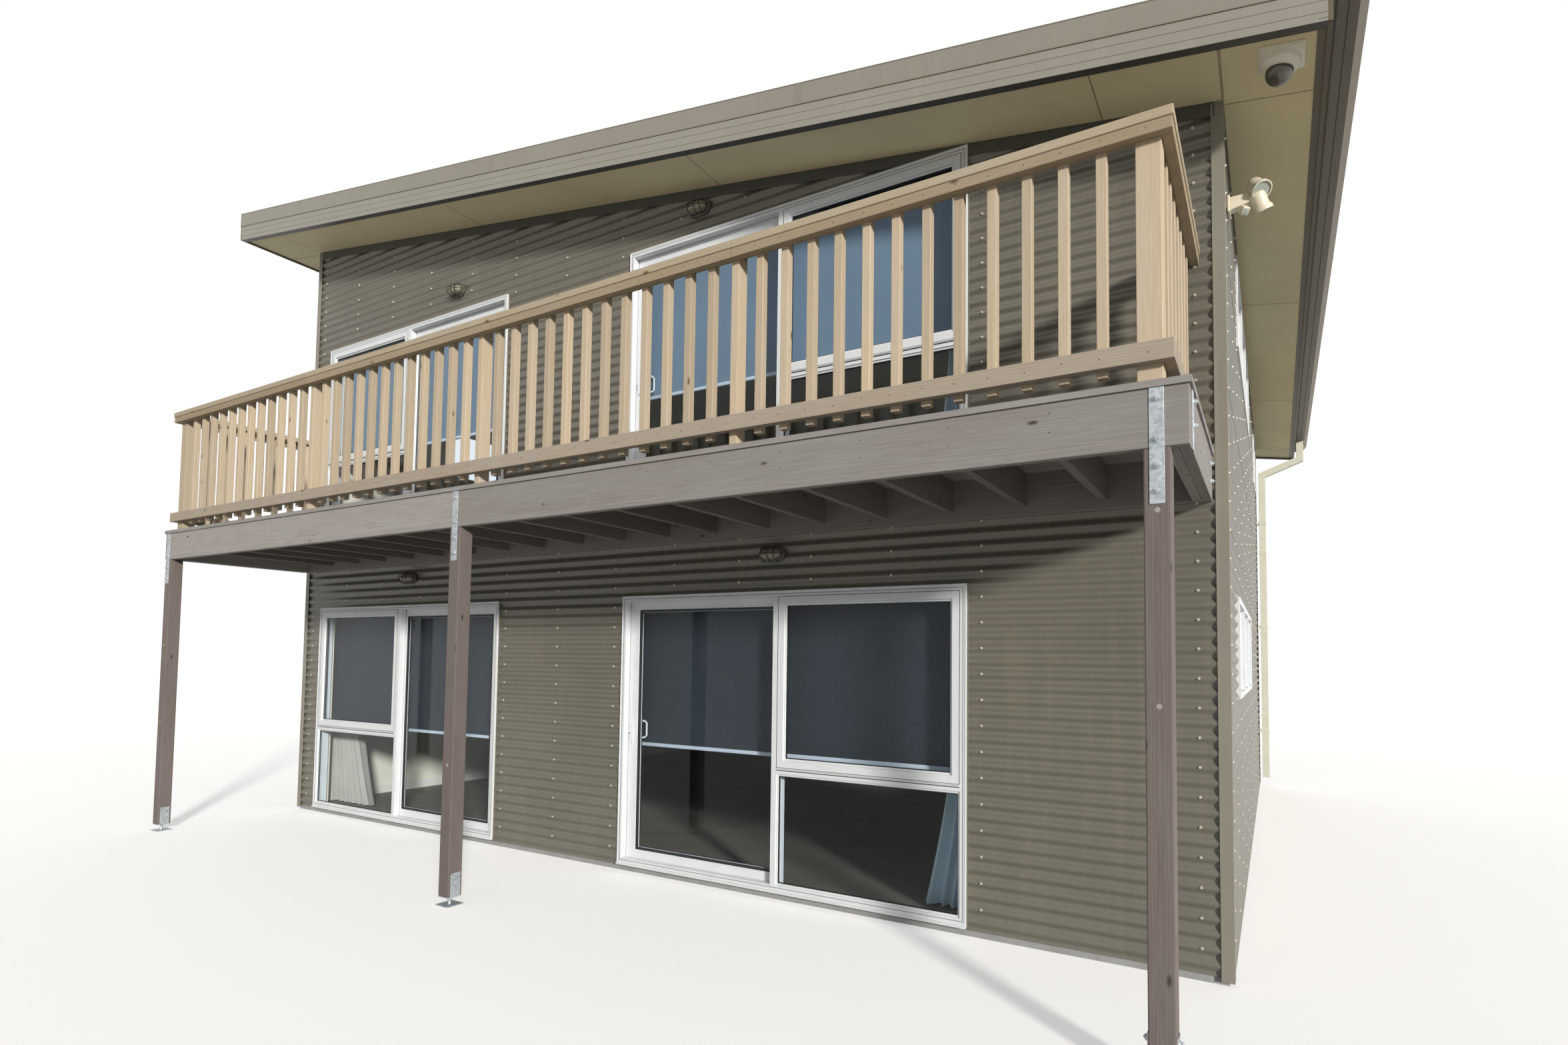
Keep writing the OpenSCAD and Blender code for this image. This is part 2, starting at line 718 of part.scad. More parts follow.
// Rafters run down the slope; the end ones stand behind the barge boards
module rafters() color(timber) set_out() for (k = [0 : rafter_n - 1]) {
    y = roof_y0 + k * (roof_y1 - roof_y0 - rafter_w) / (rafter_n - 1);
    roof_band(roof_x0, roof_x1, lining_t + seat, roof_top, y, y + rafter_w);
}

// Corrugated roofing, its waves running down the slope and out over the gutter
roof_lip = 30;
roof_len = (board_x1 - board_x0 + roof_lip) / cos(roof_pitch);
roof_span = board_y1 - board_y0 - 2 * seat;
module roofing() color(steel) set_out()
    translate([board_x0, board_y0 + seat, soffit_z(board_x0) + roof_top + seat])
        rotate([0, roof_pitch, 0]) rotate([90, 0, 90]) linear_extrude(roof_len) intersection() {
            polygon(concat([for (p = wave(roof_span)) [p[0], clad_t + p[1]]],
                [[ceil(roof_span / wave_p) * wave_p, 0], [0, 0]]));
            square([roof_span, clad_t]);
        }

// Soffit sheets round the walls, with open joints
module soffit_lining() color(lining) set_out() {
    for (y = [[roof_y0, 0], [house_d, roof_y1]]) {
        for (k = [0 : sheet_n - 1]) roof_band(k * house_w / sheet_n + joint_w / 2,
            (k + 1) * house_w / sheet_n - joint_w / 2, 0, lining_t, y[0], y[1]);
        roof_band(roof_x0, -joint_w / 2, 0, lining_t, y[0], y[1]);
        roof_band(house_w + joint_w / 2, roof_x1, 0, lining_t, y[0], y[1]);
    }
    for (x = [[roof_x0, 0], [house_w, roof_x1]], k = [0 : sheet_n - 1]) roof_band(x[0], x[1], 0, lining_t,
        k * house_d / sheet_n + joint_w / 2, (k + 1) * house_d / sheet_n - joint_w / 2);
}

module barge_boards() color(steel) set_out() for (y = [board_y0, roof_y1])
    roof_band(roof_x0, roof_x1, -board_drop, roof_top, y, y + board_t);

module fascia_boards() color(steel) set_out() for (x = [board_x0, roof_x1])
    roof_band(x, x + board_t, -board_drop, roof_top, board_y0, board_y1);

// Folded capping on the two verges and the high side: an outer face, and a top leg on the crests
module barge_capping() color(steel) set_out() {
    out_x = board_x0 - flashing_t;
    out_y = [board_y0 - flashing_t, board_y1 + flashing_t];
    top = cap_rise + flashing_t;
    difference() {
        roof_band(out_x, board_x1, top - cap_face, top, out_y[0], out_y[1]);
        roof_band(board_x0, board_x1 + 1, top - cap_face - 1, cap_rise, board_y0, board_y1);
        roof_band(out_x + cap_top, board_x1 + 1, cap_rise - 1, top + 1,
            out_y[0] + cap_top, out_y[1] - cap_top);
    }
}

// Gutter on the low fascia: a square back, a floor, a sloping front and a beaded rim
gutter_rim = soffit_z(board_x1) + roof_top - gutter_drop;
module gutter_outline(t, rim) polygon([[t, t], [gutter_floor_w - t, t], [gutter_w - t, gutter_chin_h],
    [gutter_w - t, rim], [t, rim]]);
module gutter() color(steel) set_out() translate([board_x1, 0, gutter_rim - gutter_h]) {
    difference() {
        front_plate(board_y0, board_y1) gutter_outline(0, gutter_h);
        front_plate(board_y0 + gutter_t, board_y1 - gutter_t) gutter_outline(gutter_t, gutter_h + gutter_t);
    }
    front_plate(board_y0, board_y1)
        translate([gutter_w, gutter_h - gutter_bead]) circle(r = gutter_bead, $fn = 32);
}

// Square downpipe: from the gutter's rear end back to the low wall, with mitred bends and an open foot
pipe_x = house_w + flashing_t + pipe_gap;
pipe_y = house_d - corner_face - pipe_w - 20;
pipe_top_x = board_x1 + 15;
pipe_top = gutter_rim - gutter_h - seat;
bend_z = [pipe_top - stub_h, pipe_top - stub_h - offset_h];
pipe_fall = atan2(offset_h, pipe_top_x - pipe_x);
mitre = cos(pipe_fall) / (1 + sin(pipe_fall));
pipe_wall = 3;
mouth_h = 150;
module downpipe() color(cream) set_out() {
    difference() {
        front_plate(pipe_y, pipe_y + pipe_w) polygon([[pipe_top_x, pipe_top], [pipe_top_x, bend_z[0]],
            [pipe_x, bend_z[1]], [pipe_x, pipe_end_h], [pipe_x + pipe_w, pipe_end_h],
            [pipe_x + pipe_w, bend_z[1] - pipe_w * mitre], [pipe_top_x + pipe_w, bend_z[0] - pipe_w * mitre],
            [pipe_top_x + pipe_w, pipe_top]]);
        block(pipe_x + pipe_wall, pipe_x + pipe_w - pipe_wall,
            pipe_y + pipe_wall, pipe_y + pipe_w - pipe_wall, pipe_end_h - 1, pipe_end_h + mouth_h);
    }
    for (z = [bend_z[1] - clip_p / 2 : -clip_p : pipe_end_h + clip_h]) block(house_w + seat,
        pipe_x + pipe_w + pipe_wall, pipe_y - pipe_wall, pipe_y + pipe_w + pipe_wall, z, z + clip_h);
}

// Front beam, doubled side beams and the ledger on the wall
module deck_beams() color(timber) set_out() {
    block(beam_x0, beam_x1, -deck_d, -deck_d + beam_t, beam_top - beam_h, beam_top);
    for (x = [beam_x0, beam_x1 - side_beam_t]) block(x, x + side_beam_t,
        -deck_d + beam_t + seat, ledger_y - seat, beam_top - beam_h, beam_top);
    block(ledger_x0, ledger_x1, ledger_y, -flashing_t, beam_top - beam_h, beam_top);
}

joist_room = beam_x1 - beam_x0 - 2 * side_beam_t;
module deck_joists() color(timber) set_out() for (k = [1 : joist_n]) {
    x = beam_x0 + side_beam_t + k * joist_room / (joist_n + 1) - beam_t / 2;
    block(x, x + beam_t, -deck_d + beam_t, ledger_y, beam_top - joist_h, beam_top);
}

module decking() color(timber) set_out() for (k = [0 : plank_n - 1]) {
    y = -deck_d - nosing + k * (plank_real + plank_gap);
    block(beam_x0 - nosing, beam_x1 + nosing, y, y + plank_real, beam_top, deck_top);
}

module ground_posts() color(timber) set_out() for (x = post_x)
    block(x, x + post_w, -deck_d, -deck_d + post_w, post_foot_h, beam_top - beam_h);

// Steel post shoe: base plate, pin, seat and two cheeks on the post's sides
module post_feet() color(zinc) set_out() for (px = post_x)
    translate([px + post_w / 2, -deck_d + post_w / 2, 0]) {
        block(-foot_w / 2, foot_w / 2, -foot_w / 2, foot_w / 2, 0, base_t);
        translate([0, 0, base_t]) cylinder(h = post_foot_h - base_t - foot_t, d = pin_d, $fn = 32);
        block(-post_w / 2, post_w / 2, -post_w / 2, post_w / 2, post_foot_h - foot_t, post_foot_h);
        for (x = [-post_w / 2 - foot_t, post_w / 2])
            block(x, x + foot_t, -cheek_w / 2, cheek_w / 2, post_foot_h - foot_t, post_foot_h + cheek_h);
    }

// Straps tie the front beam to the posts, and plates the side beams to their corners
module beam_straps() color(zinc) set_out() {
    for (x = post_x) block(x + (post_w - strap_w) / 2, x + (post_w + strap_w) / 2,
        -deck_d - strap_t, -deck_d, beam_top - strap_len, beam_top);
    for (x = [beam_x0 - strap_t, beam_x1]) block(x, x + strap_t, -deck_d + beam_t + side_strap_in,
        -deck_d + beam_t + side_strap_in + strap_w, beam_top - beam_h, beam_top);
}

module balustrade_posts() color(timber) set_out() {
    for (x = [newel_lo[0], newel_lo[len(newel_lo) - 1]])
        block(x, x + newel_w, newel_y0, newel_y0 + newel_w, deck_top, under_cap);
    for (x = inner_newel_x)
        block(x, x + inner_newel_w, newel_y0, newel_y0 + inner_newel_d, deck_top, under_cap);
}

// Near faces of the balusters between two post faces a and b, with even gaps
function baluster_at(a, b) =
    let (n = ceil((b - a + baluster_w) / baluster_p), step = (b - a + baluster_w) / n)
    [for (k = [1 : n - 1]) a + k * step - baluster_w];
module front_balusters() color(timber) set_out() for (k = [0 : len(newel_lo) - 2])
    for (x = baluster_at(newel_hi[k], newel_lo[k + 1]))
        block(x, x + baluster_w, newel_y0, newel_y0 + baluster_w, low_rail_z0 - baluster_tail, under_cap);
module side_baluster_row(x) for (y = baluster_at(newel_y0 + newel_w, 0))
    block(x, x + baluster_w, y, y + baluster_w, low_rail_z0 - baluster_tail, under_cap);
module left_balusters() color(timber) set_out() side_baluster_row(rail_x0 + rail_t);
module right_balusters() color(timber) set_out() side_baluster_row(rail_x1 - rail_t - baluster_w);

// A front piece and two side pieces, w wide, from height z0 to z1, their outer faces out by a lip
module rail_set(w, z0, z1, lip = 0) {
    block(rail_x0 - lip, rail_x1 + lip, rail_y0 - lip, rail_y0 - lip + w, z0, z1);
    for (x = [rail_x0 - lip, rail_x1 + lip - w]) block(x, x + w, rail_y0 - lip + w + seat, -seat, z0, z1);
}
module bottom_rails() color(timber) set_out() rail_set(rail_t, low_rail_z0, low_rail_z0 + low_rail_h);
module top_rails() color(timber) set_out() rail_set(rail_t, top_rail_z0, under_cap);
module cap_boards() color(timber) set_out() rail_set(cap_w, under_cap, under_cap + cap_t, cap_lip);

// Oval bulkhead lights, each placed by its unit's left edge and its floor's unit head
light_base = 18;
light_step = 36;
light_lens = 64;
light_ring = 34;
lens_ring = 48;
hoop_x = [-52, 0, 52];
light_at = [
    [left_unit_x + 1467, floor_z[0] + unit_h + 253], [main_x + 1357, floor_z[0] + unit_h + 251],
    [left_unit_x + 2041, floor_z[1] + unit_h + 185], [main_x + 667, floor_z[1] + unit_h + 179]];
hoop_in = 7;
// Outline of the cage's hoop across the light, as (y, z), at a depth t inside its outer edge
module cross_hoop(t) {
    r = light_h / 2 - hoop_in;
    intersection() {
        translate([r - light_d, 0]) circle(r = r - t, $fn = 48);
        translate([-light_d, -r]) square([light_d, 2 * r]);
    }
    translate([(r - light_d) / 2, 0]) square([light_d - r, 2 * (r - t)], center = true);
}
// Outline of the hoop along the light, as (x, y)
module long_hoop(t) {
    w = light_w / 2 - hoop_in;
    r = light_d / 2;
    for (s = [-1, 1]) translate([s * (w - r), -r]) circle(r = r - t, $fn = 48);
    translate([t - w, -r]) square([2 * (w - t), r]);
    translate([r - w, t - light_d]) square([2 * (w - r), light_d - t]);
}
module bulkhead_lights() color(casting) set_out() for (p = light_at) translate([p[0], 0, p[1]]) {
    front_plate(-light_base, 0) oval(light_w, light_h);
    front_plate(-light_step, -light_base) oval(light_w - light_ring, light_h - light_ring);
    front_plate(-light_lens, -light_step) oval(light_w - lens_ring, light_h - lens_ring);
    for (x = hoop_x) side_plate(x - cage_d / 2, x + cage_d / 2) difference() {
        cross_hoop(0);
        cross_hoop(cage_d);
    }
    translate([0, 0, -cage_d / 2]) linear_extrude(cage_d) difference() {
        long_hoop(0);
        long_hoop(cage_d);
    }
}

// Twin spot lights: an arm from the wall, a sensor under its end and two bell-shaped lamps
spot_z = soffit_z(house_w) - spot_drop;
arm_len = 150;
lamp_len = 112;
rim_r = spot_d / 2;
rim_t = 7;
rim_h = 14;
module lamp_bell() rotate_extrude($fn = 64) polygon([[0, 0], [rim_r / 2, 0], [rim_r * 0.7, lamp_len * 0.1],
    [rim_r * 0.8, lamp_len * 0.65], [rim_r - 4, lamp_len - rim_h - 2], [rim_r, lamp_len - rim_h],
    [rim_r, lamp_len], [rim_r - rim_t, lamp_len], [rim_r - rim_t, lamp_len - rim_t], [0, lamp_len - rim_t]]);
module stem(a, b) aim(a, b - a) cylinder(h = norm(b - a), d = 16, $fn = 32);
lamp_at = [[185, -10, 100], [195, 34, 2]];
lamp_aim = [[0.25, -0.75, -0.6], [0.45, 0.45, -0.75]];
module floodlight() color(joinery) set_out() translate([house_w, spot_y, spot_z]) {
    block(0, 20, -45, 45, -50, 50);
    block(20, arm_len, -30, 30, -42, 42);
    for (k = [0, 1]) {
        aim(lamp_at[k], lamp_aim[k]) lamp_bell();
        stem([arm_len - 12, 0, 20 - 20 * k], lamp_at[k] + lamp_aim[k] * 8);
    }
    stem([arm_len - 20, 0, -30], [arm_len + 8, -14, -72]);
    aim([arm_len + 2, -12, -62], [0.5, -0.5, -0.7]) translate([-20, -20, 0]) cube([40, 40, 48]);
}

// Dome camera under the soffit, square to the roof's slope: plate, eight-sided housing and dome
dome_mid = house_w + dome_x;
dome_plate_t = 14;
housing_h = 52;
housing_rim = 44;
module dome_camera() color(joinery) set_out()
    translate([dome_mid, -dome_y, soffit_z(dome_mid) - seat]) rotate([0, roof_pitch, 0]) {
        block(-dome_plate / 2, dome_plate / 2, -dome_plate / 2, dome_plate / 2, -dome_plate_t, 0);
        translate([0, 0, -dome_plate_t - housing_h]) rotate([0, 0, 22.5])
            cylinder(h = housing_h, d = dome_d + housing_rim, $fn = 8);
        translate([0, 0, -dome_plate_t - housing_h]) rotate([180, 0, 0]) rotate_extrude($fn = 64)
            intersection() {
                circle(d = dome_d, $fn = 64);
                translate([0, -1]) square([dome_d, dome_d]);
            }
    }

floor_slab();
front_piers_lower();
front_band();
front_piers_upper();
front_gable();
left_wall();
right_wall();
rear_wall();
upper_floor();
ceiling();
front_cladding();
left_cladding();
right_cladding();
rear_cladding();
corner_flashings();
wall_flashings();
main_frame();
main_panes();
main_leaf();
main_leaf_glass();
main_pull();
side_frame();
side_panes();
side_leaf();
side_leaf_glass();
side_pull();
upper_frames();
upper_panes();
upper_leaves();
awning_sashes();
blind_cloths();
blind_rollers();
wall_windows();
wall_window_glass();
rafters();
roofing();
soffit_lining();
barge_boards();
fascia_boards();
barge_capping();
gutter();
downpipe();
deck_beams();
deck_joists();
decking();
ground_posts();
post_feet();
beam_straps();
balustrade_posts();
front_balusters();
left_balusters();
right_balusters();
bottom_rails();
top_rails();
cap_boards();
bulkhead_lights();
floodlight();
dome_camera();
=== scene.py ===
import math
import random

import bmesh
import bpy
from mathutils import Matrix, Vector


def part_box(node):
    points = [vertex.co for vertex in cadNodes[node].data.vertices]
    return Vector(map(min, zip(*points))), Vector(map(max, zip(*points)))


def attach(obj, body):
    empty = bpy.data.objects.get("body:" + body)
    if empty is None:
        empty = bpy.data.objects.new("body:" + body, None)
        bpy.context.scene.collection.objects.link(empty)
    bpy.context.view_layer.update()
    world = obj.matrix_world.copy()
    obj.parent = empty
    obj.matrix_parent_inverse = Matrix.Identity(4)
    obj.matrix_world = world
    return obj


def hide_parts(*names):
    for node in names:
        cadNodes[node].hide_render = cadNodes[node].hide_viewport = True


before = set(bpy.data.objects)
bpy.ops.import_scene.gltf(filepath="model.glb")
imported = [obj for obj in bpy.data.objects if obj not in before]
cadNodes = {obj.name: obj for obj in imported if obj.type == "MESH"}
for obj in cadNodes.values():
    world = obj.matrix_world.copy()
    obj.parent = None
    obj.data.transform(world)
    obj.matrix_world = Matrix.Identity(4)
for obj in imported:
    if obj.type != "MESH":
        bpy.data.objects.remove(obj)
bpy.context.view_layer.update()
mm = 0.001
random.seed(4)


# Camera, light and floor
cameraView = {
    "place": (4.4962, -8.6437, 1.6144),
    "ahead": (-0.508764, 0.859561, 0.048111),
    "right": (0.860794, 0.508806, 0.012282),
    "up": (0.013922, -0.047662, 0.998766),
    "lens": 18.4777,
    "sensor": 36.0,
    "shift": (-0.009495, 0.062511),
    "farEnd": 500,           # metres
}

studio = {
    "worldColour": "#f1f3f7",
    "worldLevel": 0.4,
    "floorSize": 240.0,
    "floorDrop": 2 * mm,         # below the ground, so that it stays clear of the slab's underside
    "floorColour": "#f8f7f4",    # what is seen of the floor, straight, mirrored or through glass
    "bounceColour": "#a6a5a0",   # what the floor throws back on the house
    "floorGlow": 0.34,           # on the seen floor alone, so that it is as pale as the backdrop
}
lamps = {
    # degrees: softness as from a broad lamp, height above the ground, turn to the right of the house's front
    "keyLamp": {"level": 3.7, "softness": 6.0, "height": 15.0, "turn": 53.0, "colour": "#fffaf2"},
    "fillLamp": {"level": 0.2, "softness": 60.0, "height": 30.0, "turn": -150.0, "colour": "#ffffff"},
}


def linearColour(code):
    # a colour socket takes linear values, and a hex code is sRGB
    parts = [int(code[i:i + 2], 16) / 255 for i in (1, 3, 5)]
    return [*(p / 12.92 if p <= 0.04045 else ((p + 0.055) / 1.055) ** 2.4 for p in parts), 1.0]


def addNode(tree, kind, settings=None, links=None):
    # a setting is an input's name or number, or else a property; a link names the socket that feeds an input
    node = tree.nodes.new("ShaderNode" + kind)
    for key, value in (settings or {}).items():
        if isinstance(key, int) or key in node.inputs:
            node.inputs[key].default_value = value
        else:
            setattr(node, key, value)
    for key, socket in (links or {}).items():
        tree.links.new(socket, node.inputs[key])
    return node


def setCamera():
    camera = bpy.data.objects.new("photoCamera", bpy.data.cameras.new("photoCamera"))
    bpy.context.scene.collection.objects.link(camera)
    right, up, ahead = (Vector(cameraView[k]).normalized() for k in ("right", "up", "ahead"))
    turn = Matrix((right, up, -ahead)).transposed().to_4x4()
    camera.matrix_world = Matrix.Translation(cameraView["place"]) @ turn
    camera.data.lens = cameraView["lens"]
    camera.data.sensor_width = cameraView["sensor"]
    camera.data.shift_x, camera.data.shift_y = cameraView["shift"]
    camera.data.clip_end = cameraView["farEnd"]
    bpy.context.scene.camera = camera


def seenRay(tree):
    # 1 for rays that show the background: to the camera, off a mirror or through glass
    path = addNode(tree, "LightPath")
    seen = path.outputs["Is Camera Ray"]
    for name in ("Is Glossy Ray", "Is Transmission Ray"):
        seen = addNode(tree, "Math", {"operation": "MAXIMUM"}, {0: seen, 1: path.outputs[name]}).outputs[0]
    return seen


def setLight():
    scene = bpy.context.scene
    scene.view_settings.view_transform = "Standard"
    world = bpy.data.worlds.new("studioWorld")
    world.use_nodes = True
    tree = world.node_tree
    tree.nodes.clear()
    glow = addNode(tree, "Background", {"Color": linearColour(studio["worldColour"]),
                   "Strength": studio["worldLevel"]})
    white = addNode(tree, "Background", {"Color": (1, 1, 1, 1), "Strength": 1.0})
    behind = addNode(tree, "MixShader", None,
                     {0: seenRay(tree), 1: glow.outputs[0], 2: white.outputs[0]})
    addNode(tree, "OutputWorld", None, {"Surface": behind.outputs[0]})
    scene.world = world

    for name, data in lamps.items():
        lamp = bpy.data.objects.new(name, bpy.data.lights.new(name, "SUN"))
        lamp.data.energy = data["level"]
        lamp.data.angle = math.radians(data["softness"])
        lamp.data.color = linearColour(data["colour"])[:3]
        lamp.rotation_euler = (math.radians(90 - data["height"]), 0, math.radians(data["turn"]))
        scene.collection.objects.link(lamp)


def setFloor():
    mesh = bmesh.new()
    bmesh.ops.create_grid(mesh, x_segments=1, y_segments=1, size=studio["floorSize"] / 2)
    data = bpy.data.meshes.new("studioFloor")
    mesh.to_mesh(data)
    mesh.free()
    floor = bpy.data.objects.new("studioFloor", data)
    floor.location.z = -studio["floorDrop"]
    bpy.context.scene.collection.objects.link(floor)
    material, tree, shader = newMaterial("paleStudioFloor", {"Roughness": 0.9})
    seen = seenRay(tree)
    tone = mixColours(tree, seen, studio["bounceColour"], studio["floorColour"])
    tree.links.new(tone, shader.inputs["Base Color"])
    glow = addNode(tree, "Math", {"operation": "MULTIPLY", 1: studio["floorGlow"]}, {0: seen}).outputs[0]
    tree.links.new(glow, shader.inputs["Emission Strength"])
    data.materials.append(material)


# Materials
def newMaterial(name, settings=None):
    material = bpy.data.materials.new(name)
    material.use_nodes = True
    tree = material.node_tree
    tree.nodes.clear()
    shader = addNode(tree, "BsdfPrincipled", settings)
    addNode(tree, "OutputMaterial", None, {"Surface": shader.outputs[0]})
    return material, tree, shader


def mixColours(tree, factor, first, second, way="MIX"):
    # first and second are sockets or hex codes
    node = addNode(tree, "Mix", {"data_type": "RGBA", "blend_type": way})
    for index, value in ((0, factor), (6, first), (7, second)):
        if isinstance(value, str):
            node.inputs[index].default_value = linearColour(value)
        elif isinstance(value, (int, float)):
            node.inputs[index].default_value = value
        else:
            tree.links.new(value, node.inputs[index])
    return node.outputs[2]


def overlay(tree, base, colour, pattern, low, high, share):
    # lays a colour over the base where a pattern rises from low to high
    weight = addNode(tree, "MapRange", {"From Min": low, "From Max": high, "To Max": share},
                     {"Value": pattern}).outputs[0]
    return mixColours(tree, weight, base, colour)


def linkSkin(tree, shader, base, rough, relief):
    # rough is a pattern and the roughness at its ends; relief is a pattern, its strength and its depth
    matt = addNode(tree, "MapRange", {"To Min": rough[1], "To Max": rough[2]}, {"Value": rough[0]})
    bump = addNode(tree, "Bump", {"Strength": relief[1], "Distance": relief[2]}, {"Height": relief[0]})
    for name, socket in (("Base Color", base), ("Roughness", matt.outputs[0]), ("Normal", bump.outputs[0])):
        tree.links.new(socket, shader.inputs[name])


def stainedPine(name, early, late, weathered, greying, pores, knots):
    # Sawn radiata pine, pressure treated and stained: matt, with rings, knots and a greyer weathered skin
    material, tree, shader = newMaterial(name, {"IOR": 1.45, "Specular IOR Level": 0.3})
    spot = addNode(tree, "Attribute", {"attribute_name": "grain"}).outputs["Vector"]
    tone = addNode(tree, "Attribute", {"attribute_name": "tone"}).outputs["Fac"]
    # the grain runs along the board, so each pattern is drawn out in that direction
    slow, fibre, patch, knotSpace = (
        addNode(tree, "Mapping", {"Scale": scale}, {"Vector": spot}).outputs[0]
        for scale in ((0.05, 1, 1), (6, 260, 260), (1.6, 9, 9), (4.5, 11, 11)))
    # rings 9 mm apart, wider than real ones of about 5 mm so that they show
    rings = addNode(tree, "TexWave", {"wave_type": "RINGS", "rings_direction": "X", "Scale": 35,
                    "Distortion": 3.0, "Detail": 3, "Detail Scale": 2.0}, {"Vector": slow}).outputs["Fac"]
    fine = addNode(tree, "TexNoise", {"Scale": 1, "Detail": 4}, {"Vector": fibre}).outputs["Fac"]
    grey = addNode(tree, "TexNoise", {"Scale": 1, "Detail": 5, "Roughness": 0.6},
                   {"Vector": patch}).outputs["Fac"]
    cells = addNode(tree, "TexVoronoi", {"Scale": 1, "Randomness": 1}, {"Vector": knotSpace})
    near = addNode(tree, "MapRange", {"From Min": 0.05, "From Max": 0.14, "To Min": 1, "To Max": 0},
                   {"Value": cells.outputs["Distance"]}).outputs[0]
    chosen = addNode(tree, "SeparateColor", None, {0: cells.outputs["Color"]}).outputs[0]
    few = addNode(tree, "Math", {"operation": "LESS_THAN", 1: 0.3}, {0: chosen}).outputs[0]
    knot = addNode(tree, "Math", {"operation": "MULTIPLY"}, {0: near, 1: few}).outputs[0]

    base = mixColours(tree, rings, early, late)
    base = overlay(tree, base, weathered, grey, 0.35, 0.75, greying)
    base = overlay(tree, base, pores, fine, 0.3, 0.7, 0.35)
    base = mixColours(tree, knot, base, knots)
    level = addNode(tree, "MapRange", {"To Min": 0.86, "To Max": 1.12}, {"Value": tone}).outputs[0]
    shade = addNode(tree, "HueSaturation", None, {"Value": level, "Color": base}).outputs[0]
    height = addNode(tree, "Math", {"operation": "MULTIPLY_ADD", 1: 0.5}, {0: rings, 2: fine}).outputs[0]
    linkSkin(tree, shader, shade, (fine, 0.62, 0.85), (height, 0.35, 0.6 * mm))
    return material


def paintedSteel(name, paint, chalk, chalking, dust, dirt, gloss):
    # Baked polyester paint on zinc-coated steel: low gloss, a little chalky, with runs of dust and grit
    material, tree, shader = newMaterial(name, {"IOR": 1.5})
    place = addNode(tree, "TexCoord").outputs["Object"]
    cloud = addNode(tree, "TexNoise", {"Scale": 1.3, "Detail": 4, "Roughness": 0.55},
                    {"Vector": place}).outputs["Fac"]
    runs = addNode(tree, "Mapping", {"Scale": (14, 14, 0.9)}, {"Vector": place}).outputs[0]
    streaks = addNode(tree, "TexNoise", {"Scale": 1, "Detail": 5, "Roughness": 0.65},
                      {"Vector": runs}).outputs["Fac"]
    specks = addNode(tree, "TexNoise", {"Scale": 380, "Detail": 2}, {"Vector": place}).outputs["Fac"]
    base = overlay(tree, paint, chalk, cloud, 0.35, 0.72, chalking)
    base = overlay(tree, base, dust, streaks, 0.5, 0.8, dirt)
    base = overlay(tree, base, dust, specks, 0.62, 0.72, 0.25)
    linkSkin(tree, shader, base, (streaks, gloss, gloss + 0.2), (specks, 0.12, 0.4 * mm))
    return material


def coatedPlain(name, colour, grimeColour, grime, grimeScale, peelScale, peel, rough, metallic=0.0):
    # A sprayed or moulded skin: even colour, a faint orange peel and a little grime
    material, tree, shader = newMaterial(name, {"IOR": 1.5, "Metallic": metallic})
    place = addNode(tree, "TexCoord").outputs["Object"]
    cloud = addNode(tree, "TexNoise", {"Scale": grimeScale, "Detail": 6, "Roughness": 0.62},
                    {"Vector": place}).outputs["Fac"]
    skin = addNode(tree, "TexNoise", {"Scale": peelScale, "Detail": 2}, {"Vector": place}).outputs["Fac"]
    base = overlay(tree, colour, grimeColour, cloud, 0.45, 0.8, grime)
    linkSkin(tree, shader, base, (cloud, rough - 0.08, rough + 0.12), (skin, peel, 0.3 * mm))
    return material


def galvanised(name):
    # Steel dipped in zinc: dull grey metal with crystal spangle and white bloom
    material, tree, shader = newMaterial(name, {"Metallic": 0.55})
    place = addNode(tree, "TexCoord").outputs["Object"]
    # spangle of 12 mm, about twice the real size, so that it shows
    cells = addNode(tree, "TexVoronoi", {"Scale": 80}, {"Vector": place}).outputs["Color"]
    spangle = addNode(tree, "SeparateColor", None, {0: cells}).outputs[0]
    bloom = addNode(tree, "TexNoise", {"Scale": 26, "Detail": 6}, {"Vector": place}).outputs["Fac"]
    base = mixColours(tree, spangle, "#9aa2a7", "#bac1c5")
    base = overlay(tree, base, "#d2d5d6", bloom, 0.45, 0.75, 0.5)
    linkSkin(tree, shader, base, (bloom, 0.38, 0.62), (bloom, 0.1, 0.3 * mm))
    return material


def clearGlass(name):
    # Float glass: nearly clear, a little blue, mirroring more at a glancing view
    material = bpy.data.materials.new(name)
    material.use_nodes = True
    tree = material.node_tree
    tree.nodes.clear()
    mirror = addNode(tree, "BsdfGlossy", {"Color": (1, 1, 1, 1), "Roughness": 0.015})
    through = addNode(tree, "BsdfTransparent", {"Color": linearColour("#f8fbfd")})
    # the way out of the pane mirrors no more than the way in: a back face is given the inverse index
    back = addNode(tree, "NewGeometry").outputs["Backfacing"]
    index = addNode(tree, "MapRange", {"To Min": 1.2, "To Max": 1 / 1.2}, {"Value": back}).outputs[0]
    share = addNode(tree, "Fresnel", None, {"IOR": index})
    mixed = addNode(tree, "MixShader", None,
                    {0: share.outputs[0], 1: through.outputs[0], 2: mirror.outputs[0]})
    addNode(tree, "OutputMaterial", None, {"Surface": mixed.outputs[0]})
    return material


